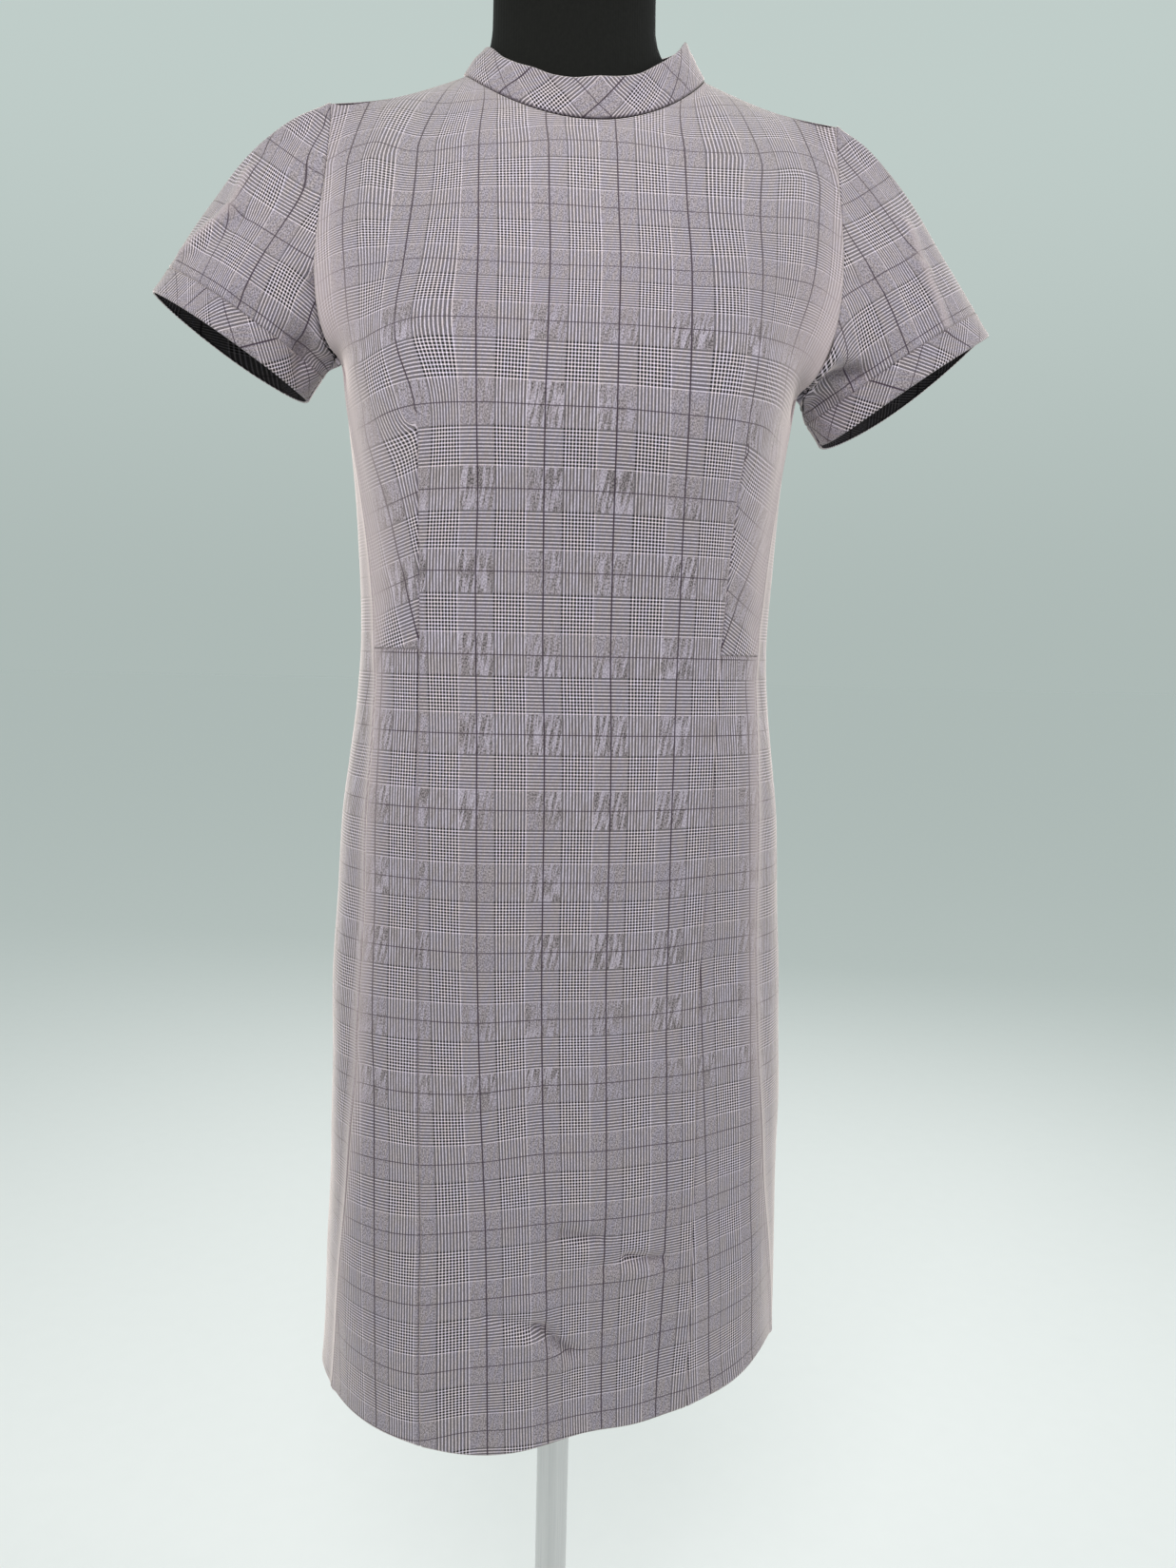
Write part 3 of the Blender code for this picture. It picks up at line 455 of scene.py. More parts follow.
# which way the cloth arrives at the neckline's middle and at its corner, and leaves and ends at the side
FRONT_NECK, FRONT_RIDGE = np.array([0.0, 0.55, 0.90]), np.array([0.0, 1.00, 0.45])
BACK_NECK, BACK_RIDGE = np.array([0.0, -0.35, 0.95]), np.array([0.0, -1.00, 0.45])
UNDERARM_WAY, TIP_WAY = np.array([0.45, 1.05, 0.25]), np.array([0.10, -0.35, 0.95])
ARRIVE_PULL = 0.8
YOKE_PASSES = 10
ACROSS = np.concatenate([np.linspace(0, 1, CENTRE_COLUMNS + 1), np.linspace(1, 2, SIDE_COLUMNS + 1)[1:]])


def neckline(angle):
    """The neckline seam: 0 is centre front, a quarter turn the wearer's left shoulder. It is an oval in
    plan, and rises from the front and the back to the shoulders as |cos|^1.5."""
    middle, half = (LEFT.neck_x - RIGHT.neck_x) / 2, (LEFT.neck_x + RIGHT.neck_x) / 2
    facing = np.cos(angle)
    end = np.where((facing > 0)[..., None], NECK_FRONT, NECK_BACK)
    y = SHOULDER_Y + (end[..., 1] - SHOULDER_Y) * np.abs(facing)
    shoulder = RIGHT.neck_z + (LEFT.neck_z - RIGHT.neck_z) * (np.sin(angle) + 1) / 2
    z = shoulder + (end[..., 2] - shoulder) * np.abs(facing) ** 1.5
    return joined(middle + half * np.sin(angle), y, z)


def shoulder_seam(side, share):
    """From the neck corner to the shoulder tip, with a slight hollow between them."""
    x = side.neck_x + (side.tip_x - side.neck_x) * share
    z = side.neck_z + (side.tip_z - side.neck_z) * share - SHOULDER_HOLLOW * np.sin(math.pi * share)
    return joined(side.sign * x, SHOULDER_Y, z)


def half_net(side, front):
    """(points, girth positions) of one half, from the hem up and from the centre line out."""
    across = ACROSS if front else np.linspace(0, 2, BACK_COLUMNS + 1)
    middle = (RIGHT.arm_z + LEFT.arm_z) / 2
    top = middle + (side.arm_z - middle) * (across / 2) ** 2
    skirt = np.linspace(HEM, 0, SKIRT_ROWS + 1)[:-1, None] + 0 * across
    height = np.concatenate([skirt, np.linspace(0, 1, BODICE_ROWS + 1)[:, None] * top])
    over, into = np.minimum(across, 1)[:, None], np.maximum(across - 1, 0)[:, None]
    seam = section_at(height).front_half
    if front:
        girth = side.sign * (PANEL_HALF * over[:, 0] + (seam - PANEL_HALF) * into[:, 0])
    else:
        girth = side.sign * (seam + (girth_of(height) / 2 - seam) * (2 - across) / 2)
    below = tube(height, girth)
    # the yoke's columns leave the tube the way they rise in it
    foot = below[-1]
    rise = foot - below[-2]
    rise = rise / length_of(rise)[:, None]
    angle = side.sign * over[:, 0] * math.pi / 2
    neck = neckline(angle if front else math.pi - angle)
    end = np.where((across <= 1)[:, None], neck, shoulder_seam(side, into[:, 0]))
    at_centre, at_ridge = (FRONT_NECK, FRONT_RIDGE) if front else (BACK_NECK, BACK_RIDGE)
    mirror = np.array([side.sign, -1 if front else 1, 1])
    arrive = at_centre * (1 - over) + at_ridge * over
    leave = rise + into**3 * (UNDERARM_WAY * mirror - rise)
    arrive = arrive + into**2 * (TIP_WAY * mirror - arrive)
    reach = length_of(end - foot)[:, None]
    up = np.linspace(0, 1, YOKE_ROWS + 1)[1:, None, None]
    yoke = hermite(foot, leave * reach, end, arrive * reach * ARRIVE_PULL, up)
    return np.concatenate([below, yoke]), girth


def whole_net(front):
    """Both halves as one net whose columns run from left to right, seen from outside.

    The yoke's rows are evened out: every pass moves a point a share of the way to the mean of its
    neighbours on the row. The share is 0 at the underarms, a half above them and 0 again at the top.
    """
    halves = [half_net(side, front) for side in ((RIGHT, LEFT) if front else (LEFT, RIGHT))]
    (first, first_girth), (second, second_girth) = halves
    middle = (first[:, :1] + second[:, :1]) / 2
    net = np.concatenate([first[:, :0:-1], middle, second[:, 1:]], axis=1)
    if not front:  # round the back the girth position carries on past centre back
        second_girth = second_girth + 2 * first_girth[:, :1]
    girth = np.concatenate([first_girth[:, ::-1], second_girth[:, 1:]], axis=1)
    up = np.linspace(0, 1, YOKE_ROWS + 1)
    share = 0.5 * np.clip(3 * up, 0, 1) * np.clip(4 * (1 - up), 0, 1)
    share = np.concatenate([np.zeros(len(net) - len(up)), share])[:, None, None]
    for _ in range(YOKE_PASSES):
        net[:, 1:-1] += ((net[:, :-2] + net[:, 2:]) / 2 - net[:, 1:-1]) * share
    return net, girth


front_net, front_girth = whole_net(front=True)
back_net, back_girth = whole_net(front=False)
print("front net", front_net.shape[:2], "back net", back_net.shape[:2])

# %% [markdown]
# ## Soft creases
#
# Creases are listed one by one, each a line on the unrolled cloth with a depth and a width. The cloth moves
# along its normal by depth x exp(-(d / width)^2), where d is the distance from the line, so neighbours run
# into each other softly. A plus is a ridge, a minus a trough.

# %% Creases
Crease = namedtuple("Crease", "u0 v0 u1 v1 depth width")


def creases_of(*rows):
    """Creases from rows of millimetres."""
    return [Crease(*(value / 1000 for value in row)) for row in rows]


def creased(u, v, creases):
    """Sum of all the creases at places (u, v)."""
    total = np.zeros_like(u)
    for crease in creases:
        along = np.array([crease.u1 - crease.u0, crease.v1 - crease.v0])
        t = ((u - crease.u0) * along[0] + (v - crease.v0) * along[1]) / (along @ along)
        t = np.clip(t, 0, 1)
        d = np.hypot(u - crease.u0 - t * along[0], v - crease.v0 - t * along[1])
        total += crease.depth * bell(d, crease.width)
    return total


def painted_trough_shade(u, v, creases):
    """Painted shade at the bottom of troughs deeper than 3 mm, 0 to 1."""
    deep = [crease._replace(width=crease.width * 0.6) for crease in creases if crease.depth < -0.003]
    return np.clip(-creased(u, v, deep) * 80, 0, 0.45)


def uneven(u, v, size, seed):
    """Slow unevenness about 1 high: five sines of seeded lengths and directions."""
    draw = np.random.default_rng(seed)
    total = np.zeros_like(u)
    for _ in range(5):
        turn, phase, length = draw.uniform(0, math.pi), draw.uniform(0, 2 * math.pi), draw.uniform(0.7, 1.6)
        total += np.sin((u * math.cos(turn) + v * math.sin(turn)) * 2 * math.pi / (size * length) + phase)
    return total / 3


BODY_CREASES = creases_of(
    # u0, v0, u1, v1, depth, width, with v from the waist
    (-56, -466, -20, -477, -2.6, 5.0),
    (-20, -477, 4, -499, -4.8, 4.2),
    (-30, -488, -4, -508, 2.2, 7.0),
    (-22, -458, -18, -461, 2.6, 10.0),
    (46, -431, 71, -435, -4.2, 4.0),
    (40, -442, 66, -447, 1.8, 6.0),
    (-4, -408, 22, -414, -3.4, 6.0),
    (18, -438, 46, -431, -1.8, 5.0),
    (300, 20, 380, 4, -2.4, 9.0),  # from here on the back
    (430, -6, 515, 18, -2.2, 10.0),
    (330, -50, 390, -60, 1.8, 12.0),
    (420, -72, 500, -48, -2.0, 11.0),
    (250, 225, 320, 180, -2.2, 13.0),
    (570, 228, 500, 186, -2.0, 13.0),
    (300, -380, 390, -396, -3.0, 9.0),
    (600, -425, 500, -445, -2.6, 10.0),
    (-150, -300, -100, -420, -2.0, 18.0),  # and from here at the sides
    (120, -230, 135, -520, -3.0, 22.0),
    (85, -300, 95, -560, 2.5, 20.0),
    (-170, 165, -120, 120, -1.2, 10.0),
    (170, 160, 125, 110, -1.4, 11.0),
    (-140, 30, -115, 50, -1.0, 8.0),
    (140, 20, 115, 45, -1.1, 8.0),
    (-140, -20, -112, -50, -1.0, 11.0),
    (138, -18, 112, -52, -1.2, 11.0),
)

# %% [markdown]
# ## Cloth pieces
#
# One function turns a smooth grid into a finished piece. The cut edges roll in a little, so two pieces
# that meet make the fine groove of a seam, and over the pressed allowances the cloth stands up beside it.
# Solidify gives the wall its thickness towards the inside, where the reverse of the cloth shows in painted
# shade.

# %% Cloth pieces
CLOTH = 0.0012
GROOVE = 0.0009  # width of the roll at a seam
# roll and ridge shape the cloth at an edge; shade, 0 to 1, is the painted shade in its groove
Edge = namedtuple("Edge", "roll ridge ridge_width shade", defaults=(0.0008, 0.0, 0.004, 0.3))
SIDE_SEAM = Edge(ridge=0.0014, shade=0.10)
DART_SEAM = Edge(ridge=0.0004, ridge_width=0.005, shade=0.40)
SKIRT_SHADE = {-1: 0.75, 1: 0.35}  # painted shade of the skirt panel seams; the right panel seam runs beside an overcheck line
NECK_SEAM = Edge(roll=0.0011, shade=1.0)
ZIP_SEAM = Edge(roll=0.0012, ridge=0.0006, ridge_width=0.006, shade=0.5)
HEM_EDGE = Edge(roll=0.0009, ridge=0.0004, ridge_width=0.006, shade=0.0)
BAND_SEAM, UNDERARM_SEAM = Edge(ridge=0.0003), Edge(roll=0.0006)
ARMHOLE_SEAM = Edge(ridge=0.0009, ridge_width=0.005, shade=0.4)
COLLAR_EDGE = Edge(roll=0.0007, ridge=0.0003, ridge_width=0.003, shade=0.0)


def normals_of(points, closed=False):
    """Outward directions on a grid whose rows run up and columns to the right, seen from outside."""
    if closed:
        around = np.roll(points, -1, axis=1) - np.roll(points, 1, axis=1)
    else:
        around = np.gradient(points, axis=1)
    facing = np.cross(around, np.gradient(points, axis=0))
    return facing / np.maximum(length_of(facing), 1e-12)[..., None]


def moved(points, move):
    return points + normals_of(points) * move[..., None]


def run_along(points, axis):
    """Distance along the rows, or up the columns, from the first point."""
    steps = length_of(np.diff(points, axis=axis))
    start = np.zeros_like(np.take(steps, [0], axis=axis))
    return np.concatenate([start, np.cumsum(steps, axis=axis)], axis=axis)


def from_edges(points):
    """Distances along the cloth from the grid's left, right, top and bottom edges."""
    along, up = run_along(points, 1), run_along(points, 0)
    return [along, along[:, -1:] - along, up[-1:] - up, up]


def unrolled(points, facing, level, start_row, start_u):
    """(u, v) on the cloth: v climbs along `level` on the surface and u runs square to it. Both add up the
    steps of each column from the start row, where u is known and v is 0."""
    across = np.cross(level, facing)
    across /= np.maximum(length_of(across), 1e-9)[..., None]
    steps = np.diff(points, axis=0)
    both = []
    for way in (across, np.cross(facing, across)):
        step = (steps * (way[1:] + way[:-1]) / 2).sum(axis=-1)
        total = np.concatenate([np.zeros_like(step[:1]), np.cumsum(step, axis=0)])
        both.append(total - total[start_row])
    return both[0] + start_u, both[1]


def edge_relief(distances, edges):
    """(how far the cloth moves along its normal, how much painted shade lies in the seam's groove, from 0 to
    1).
    """
    move, dark = 0.0, 0.0
    for distance, edge in zip(distances, edges):
        groove = bell(distance, GROOVE)
        move = move - edge.roll * groove + edge.ridge * bell(distance, edge.ridge_width)
        dark = np.maximum(dark, groove * edge.shade)
    return move, dark


def painted_sheen_beside(distance, height):
    """How much painted sheen lies beside a side seam: a bell across the seam."""
    wide = np.interp(height, [HEM, 0.00, 0.06, 0.20, 0.27, 0.33], [0.008, 0.009, 0.026, 0.036, 0.018, 0.010])
    strong = np.interp(height, [HEM, -0.10, 0.06, 0.20, 0.27, 0.36], [0.60, 0.65, 0.85, 0.90, 0.55, 0.25])
    return strong * bell(distance, wide)


def quads(number):
    """The four corners of every face between rows and columns of numbered points."""
    return joined(number[:-1, :-1], number[:-1, 1:], number[1:, 1:], number[1:, :-1]).reshape(-1, 4)


def cloth_mesh(name, points, uv, dark, painted_sheen=0.0, keep=None, closed=False, other=None, other_uv=None):
    """A mesh from a grid. uv has one more column than a closed grid, where the cloth meets itself. Faces
    marked in `other` take their places on the cloth from other_uv."""
    shape = points.shape[:2]
    number = np.arange(shape[0] * shape[1]).reshape(shape)
    if closed:
        number = np.concatenate([number, number[:, :1]], axis=1)
    faces, spots = quads(number), quads(np.arange(uv[..., 0].size).reshape(uv.shape[:2]))
    place = uv.reshape(-1, 2)[spots]
    if other is not None:
        place = np.where(other.reshape(-1)[:, None, None], other_uv.reshape(-1, 2)[spots], place)
    if keep is not None:
        faces, place = faces[keep.reshape(-1)], place[keep.reshape(-1)]
    used, faces = np.unique(faces, return_inverse=True)
    mesh = bpy.data.meshes.new(name)
    corners = points.reshape(-1, 3)[used] + [0, 0, WAIST_Z]
    mesh.from_pydata(corners.tolist(), [], faces.reshape(-1, 4).tolist())
    mesh.uv_layers.new(name="cloth").data.foreach_set("uv", place.astype(np.float32).ravel())
    # each point carries its painted shade (seam) and its painted sheen
    for kind, value in (("seam", dark), ("painted_sheen", painted_sheen)):
        value = np.broadcast_to(value, shape).reshape(-1)[used]
        mesh.attributes.new(kind, "FLOAT", "POINT").data.foreach_set("value", value.astype(np.float32))
    mesh.shade_smooth()
    return mesh


def add_piece(mesh, materials, node, body="dress_on_form"):
    """The finished piece as an object that stands for its solid and rides on its body."""
    obj = linked(mesh.name, mesh)
    for material in materials:
        mesh.materials.append(material)
    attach(obj, body)
    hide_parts(node)
    return obj


def sewn(node, *grids, **more):
    """A cloth piece with its thickness, named after its solid."""
    mesh = cloth_mesh(f"dress_{node}", *grids, **more)
    piece = add_piece(mesh, (suiting_face, suiting_reverse_painted_shade), node)
    wall = piece.modifiers.new("wall", "SOLIDIFY")
    wall.thickness, wall.offset = CLOTH, -1.0
    wall.material_offset, wall.material_offset_rim = 1, 0
    # the inside takes the second material, the reverse with painted shade
    mesh.calc_loop_triangles()
    print(mesh.name, len(mesh.loop_triangles) * 2, "triangles with both sides")


# %% [markdown]
# ## Two sheets of cloth
#
# The front is one sheet and the back another, each from side seam to side seam, with extra lines of points
# beside every seam.

# %% Sheets
PITCH = 0.0046  # spacing of the points on the cloth
UP = np.array([0.0, 0.0, 1.0])
WAIST_ROW, UNDERARM_ROW = SKIRT_ROWS, SKIRT_ROWS + BODICE_ROWS
LEVELS = 240  # level lines on which u is measured above the underarms


class Sheet:
    """A dense grid from a net, with every point's place (u, v) on the unrolled cloth.

    Below the underarms u is the girth position. Above them it is the distance from the centre line measured
    level over the cloth, up to level_top, where level lines start to run into the neckline.
    """

    def __init__(self, net, girth, seams, level_top, lean=None, fine=()):
        self.columns, self.rows = places_along(net, 1), places_along(net, 0)
        width, height = self.columns[-1], self.rows[-1]
        waist_at, underarm_at = self.rows[WAIST_ROW], self.rows[UNDERARM_ROW]
        self.at_column = places_with_seams(width, [0.0, width, *self.columns[list(seams)]], PITCH)
        self.at_row = places_with_seams(height, [0.0, waist_at, height], PITCH)
        if fine:  # more rows between two heights, for sharp creases
            more = np.arange(waist_at + fine[0], waist_at + fine[1], PITCH / 3)
            self.at_row = np.union1d(self.at_row, more)
        self.waist = int(np.argmin(np.abs(self.at_row - waist_at)))
        underarm = int(np.searchsorted(self.at_row, underarm_at)) - 1
        grids = [self.read(net), self.read(girth[..., None])]
        if lean:
            grids = [self.leaned(grid, self.columns[seams[-1]], lean) for grid in grids]
        self.points, girth = grids[0], grids[1][..., 0]
        climb, self.v = unrolled(self.points, normals_of(self.points), UP, self.waist, 0.0)
        over = self.level_distance(climb, level_top)
        over = over - over[underarm] + girth[underarm]
        self.u = np.where(np.arange(len(girth))[:, None] <= underarm, girth, over)

    def read(self, net):
        return dense(net, self.at_row, self.rows[: len(net)], self.at_column, self.columns)

    def leaned(self, values, at, lean):
        """Every row read again a little further out, by a table of heights. The shift is whole at one column
        and runs out evenly to the middle and to the edge of the sheet."""
        hat = np.interp(self.at_column, [self.at_column[-1] / 2, at, self.at_column[-1]], [0, 1, 0])
        shift = np.interp(self.at_row - self.at_row[self.waist], list(lean), list(lean.values()))
        places = self.at_column + shift[:, None] * hat
        rows = zip(places, values)
        rows = [[np.interp(place, self.at_column, part) for part in row.T] for place, row in rows]
        return np.swapaxes(rows, 1, 2)

    def level_distance(self, climb, top):
        """The steps from column to column at the same levels, added up from the middle one. Above the top
        level the climb up the column is added."""
        levels = np.linspace(HEM, top, LEVELS)
        columns = np.swapaxes(self.points, 0, 1)
        read = [[np.interp(levels, column[:, 2], part) for part in column.T] for column in columns]
        along = run_along(np.transpose(read, (2, 0, 1)), 1)
        along -= along[:, [len(columns) // 2]]
        found = []
        for z, level_run, rise in zip(columns[..., 2], along.T, climb.T):
            over_top = np.where(z > top, rise - np.interp(top, z, rise), 0)
            found.append(np.interp(z, levels, level_run) + over_top)
        return np.stack(found, axis=1)

    def column(self, k):
        return int(np.argmin(np.abs(self.at_column - self.columns[k])))


DART_AT = (SIDE_COLUMNS, SIDE_COLUMNS + 2 * CENTRE_COLUMNS)
LEAN_AT = {HEM: -0.010, -0.240: -0.007, 0.000: 0.000, 0.138: 0.013}  # of the left dart and panel seam
front_sheet = Sheet(front_net, front_girth, DART_AT, 0.330, LEAN_AT, fine=(-0.520, -0.395))
back_sheet = Sheet(back_net, back_girth, (BACK_COLUMNS,), 0.395)
print("front sheet", front_sheet.points.shape[:2], "back sheet", back_sheet.points.shape[:2])

# %% [markdown]
#
# The cloth was eased over the bust and round the armholes, and by the hem it pulls together, so two small
# tables say how far the check strays.

# %% Check on the sheets
CHECK_AT = (-0.0210, -0.0023)  # where an overcheck line of the warp and one of the weft cross
STRAY_AT = np.array([-0.156, -0.111, -0.066, -0.021, 0.024, 0.069, 0.114, 0.159, 0.205])  # the warp's lines
STRAY = (
    # height, and how many millimetres the warp and the weft stray at each of those lines
    (HEM, (-4, -5, -10, -8, -3, 0, 0, 0, 0), (4, 3, -13, -11, -8, -8, -6, -6, -6)),
    (-0.480, (-5, -5, -10, -7, -3, -3, -5, -5, -5), (5, 4, -6, -8, -7, -11, -9, -8, -8)),
    (-0.400, (-5, -5, -9, -6, -4, -5, -5, -5, -5), (5, 4, -4, -8, -7, -7, -8, -8, -8)),
    (-0.320, (-4, -4, -6, -4, -4, -4, -4, -4, -4), (2, 2, -1, -8, -8, -9, -8, -8, -8)),
    (-0.240, (-3, -3, -4, -3, -3, -3, -3, -3, -3), (0, 0, 0, -2, -2, -3, -5, -5, -5)),
    (-0.055, (-2, -2, -2, -2, -2, -2, -2, -2, -2), (2, 2, 2, 2, 2, 2, 2, 2, 2)),
    (0.000, (0, 0, -1, 0, 0, -2, 0, 0, 0), (0, 0, 0, 0, 0, 0, 0, 0, 0)),
    (0.053, (0, 1, -1, 0, 0, -2, 0, 0, 0), (-3, -3, -3, -3, -3, -3, -3, -3, -3)),
    (0.100, (0, -2, -3, 0, 0, -2, -2, 0, 0), (-2, -3, -4, -4, -4, -3, -3, -2, -2)),
    (0.150, (5, -4, -2, 0, 0, -2, -5, 2, 0), (0, -4, -5, -4, -4, -3, -3, -2, 0)),
    (0.203, (14, 12, 0, 0, 1, -1, -11, -2, 0), (0, -8, -6, -4, -4, -5, -8, -9, -8)),
    (0.247, (14, 7, 1, 1, 2, 1, -9, -10, -10), (2, 4, 10, 12, 11, 10, 2, -2, -4)),
    (0.290, (18, 4, 4, 4, 5, 5, -5, -13, -16), (6, 18, 17, 14, 15, 16, 10, 1, -6)),
    (0.345, (20, 5, 8, 7, 7, 7, -8, -17, -22), (2, 21, 15, 2, 1, 14, 7, -8, -18)),
)


def stray(u, height):
    """The two tables read at (u, height): a cubic down each column first, then a cubic across."""
    heights, *tables = (np.array(column, float) for column in zip(*STRAY))
    rows = np.clip(height, heights[0], heights[-1]).ravel()
    place = np.clip(u, STRAY_AT[0], STRAY_AT[-1]).ravel()
    i = np.clip(np.searchsorted(STRAY_AT, place) - 1, 0, len(STRAY_AT) - 2)
    span = STRAY_AT[i + 1] - STRAY_AT[i]
    t = (place - STRAY_AT[i]) / span
    each = np.arange(len(rows))
    both = []
    for table in tables:
        value = through(rows, heights, table / 1000)
        slope = np.gradient(value, STRAY_AT, axis=1)
        ends = [(value[each, k], slope[each, k] * span) for k in (i, i + 1)]
        both.append(hermite(*ends[0], *ends[1], t))
    return joined(*both).reshape(*height.shape, 2)


def check_places(u, v, height):
    """Places on the woven check, counted from where two overcheck lines cross."""
    return joined(u, v - hem_fold(u, height, "lift")) - CHECK_AT + stray(u, height)


def turned_about(places, tip, degrees, slide):
    """Places turned about a tip and slid, less and less on the way round from below it to above it."""
    x, y = np.moveaxis(places - tip, -1, 0)
    share = eased(1 - np.arctan2(np.abs(x), -y) / math.radians(140))
    x, y = rotated(x, y, np.radians(degrees) * share)
    return tip + joined(x + share * slide, y)


def relief(sheet):
    """How far the creases and a slow unevenness, more below the waist, move the cloth.

    The back reads both twice, with u counted from the front by the wearer's left and by the right, and one
    unevenness fades into the other, so that the cloth meets at both side seams.
    """
    height = sheet.points[..., 2]
    low, high = np.clip(-height / 0.3, 0, 1), np.clip((0.37 - height) / 0.04, 0, 1)
    readings = [(sheet.u, 1.0)]
    if sheet is back_sheet:
        share = sheet.at_column / sheet.at_column[-1]
        lap = 2 * sheet.u[:, [sheet.column(BACK_COLUMNS)]]
        readings = [(sheet.u, 1 - share), (sheet.u - lap, share)]
    move = 0.0
    for u, share in readings:
        slow = 0.0006 * high * uneven(u, height, 0.09, 3) + 0.0016 * low * uneven(u, height * 0.4, 0.11, 5)
        move = move + creased(u, height, BODY_CREASES) + share * slow
    return move


def cut(sheet, rows, columns):
    """A piece's share of the sheet: points, u, v and height, moved by the creases."""
    part = (slice(*rows), slice(*columns))
    points = sheet.points[part]
    return moved(points, relief(sheet)[part]), sheet.u[part], sheet.v[part], points[..., 2]


# %% [markdown]
# ## Front, skirt sides and backs
#
# The front is full width above the waist, and runs on to the hem between the dart lines. The skirt sides
# and the backs are cut from the same two sheets, so they meet it.

# %% Front
# height of the tip over the waist, degrees between the legs laid flat, and how far the cloth was eased
Dart = namedtuple("Dart", "tip angle slide")
DARTS = {-1: Dart(0.147, 17.0, -0.011), 1: Dart(0.138, 26.0, -0.005)}
AWAY = 1.0  # a distance that no seam reaches

waist = front_sheet.waist
dart_columns = {-1: front_sheet.column(DART_AT[0]), 1: front_sheet.column(DART_AT[1])}
points, u, v, height = cut(front_sheet, (None,), (None,))
row, column = np.arange(len(points))[:, None], np.arange(points.shape[1])[None]
outside = (column < dart_columns[-1]) | (column > dart_columns[1])
outside_faces = (column[:, :-1] < dart_columns[-1]) | (column[:, :-1] >= dart_columns[1])
left, right, top, bottom = from_edges(points)
at_waist = np.where(outside, np.abs(bottom - bottom[waist]), AWAY)
sides = [np.where(row > waist, distance, AWAY) for distance in (left, right)]
# the side seam's groove gets more painted shade from 0.17 m over the waist, towards the armhole
side_seam = SIDE_SEAM._replace(shade=SIDE_SEAM.shade + 0.30 * np.clip((height - 0.17) / 0.03, 0, 1))
seams = (side_seam, side_seam, NECK_SEAM, HEM_EDGE, DART_SEAM)
move, dark = edge_relief((*sides, top, bottom, at_waist), seams)
# each dart seam, with painted shade in its groove, fades out at the tip; on the skirt it takes its side's
# SKIRT_SHADE
for sign, k in dart_columns.items():
    closed = np.where(height > 0, np.clip((DARTS[sign].tip - height) / 0.015, 0, 1), 1.0)
    dart_move, dart_dark = edge_relief((np.abs(left - left[:, [k]]),), (DART_SEAM,))
    dart_dark = np.where(height > 0, dart_dark, dart_dark * SKIRT_SHADE[sign] / DART_SEAM.shade)
    move, dark = move + dart_move * closed, np.maximum(dark, dart_dark * closed)
# painted shade at the bottom of the deep creases
dark = np.maximum(dark, painted_trough_shade(u, height, BODY_CREASES))
plain_uv = check_places(u, v, height)
side_uv = plain_uv.copy()
for sign, k in dart_columns.items():
    tip = plain_uv[int(np.argmin(np.abs(height[:, k] - DARTS[sign].tip))), k]
    half = (column >= points.shape[1] // 2) == (sign > 0)
    turned_uv = turned_about(plain_uv, tip, sign * DARTS[sign].angle, DARTS[sign].slide)
    side_uv = np.where(half[..., None], turned_uv, side_uv)
keep = ~outside_faces | (row[:-1] >= waist)
other = np.broadcast_to(outside_faces, keep.shape)
# painted sheen beside the side seams, pale and without a check
painted_sheen = painted_sheen_beside(np.minimum(*sides), height)
sewn("front", moved(points, move), plain_uv, dark, painted_sheen, keep=keep, other=other, other_uv=side_uv)

# %% Skirt sides and backs
LEAN = {-1: 0.010, 1: 0.055}  # the skirt sides' warp leans out on the way down
SIDE_CHECK_AT = {-1: -0.1375, 1: 0.1320}  # girth position of an overcheck line on each skirt side


def sew_beside(node, points, height, seam_first, inner, top, uv):
    """A piece with a side seam on one side, another seam on the other, a seam on top and a hem."""
    ends = (SIDE_SEAM, inner) if seam_first else (inner, SIDE_SEAM)
    distances = from_edges(points)
    # painted shade in the seams' grooves, and painted sheen beside the side seam
    move, dark = edge_relief(distances, (*ends, top, HEM_EDGE))
    sewn(node, moved(points, move), uv, dark, painted_sheen_beside(distances[0 if seam_first else 1], height))


for side, columns in ((RIGHT, (None, dart_columns[-1] + 1)), (LEFT, (dart_columns[1], None))):
    points, u, v, height = cut(front_sheet, (None, waist + 1), columns)
    across = u - SIDE_CHECK_AT[side.sign] + side.sign * LEAN[side.sign] * v
    uv = joined(across, check_places(u, v, height)[..., 1])
    panel_seam = DART_SEAM._replace(shade=SKIRT_SHADE[side.sign])
    sew_beside(f"skirt_side_{side.name}", points, height, side is RIGHT, panel_seam, DART_SEAM, uv)

centre_back = back_sheet.column(BACK_COLUMNS)
for side, columns in ((LEFT, (None, centre_back + 1)), (RIGHT, (centre_back, None))):
    points, u, v, height = cut(back_sheet, (None,), columns)
    centre = u[:, [-1 if side is LEFT else 0]]
    from_front = u if side is LEFT else u - 2 * centre
    across = centre - u + side.sign * WARP.repeat / 2000
    uv = joined(across, v - hem_fold(from_front, height, "lift") - CHECK_AT[1])
    sew_beside(f"back_{side.name}", points, height, side is LEFT, ZIP_SEAM, NECK_SEAM, uv)

# %% [markdown]
# ## Sleeves and their bands
#
# A set-in sleeve is a tube from the armhole to a slanting cuff. Each column is a cubic that leaves the
# armhole outwards, more so at the top, and arrives along the sleeve's own axis. The cuff is finished with
# a band cut on the bias, so its check runs at 45 degrees.

# %% Sleeves
FINE_PITCH = 0.0028  # spacing of the points on the small pieces
BAND_WIDTH, SLEEVE_ROWS, AROUND = 0.020, 6, 2 * YOKE_ROWS
CUFF_DEEP, CUFF_Y = 0.050, 0.004  # half depth of the cuff, and how far back its outer end lies
CUFF_SAG = {-1: 0.0015, 1: 0.0055}  # the cuff's edge sags behind by twice this, and not at all in front
BIAS = math.radians(45)
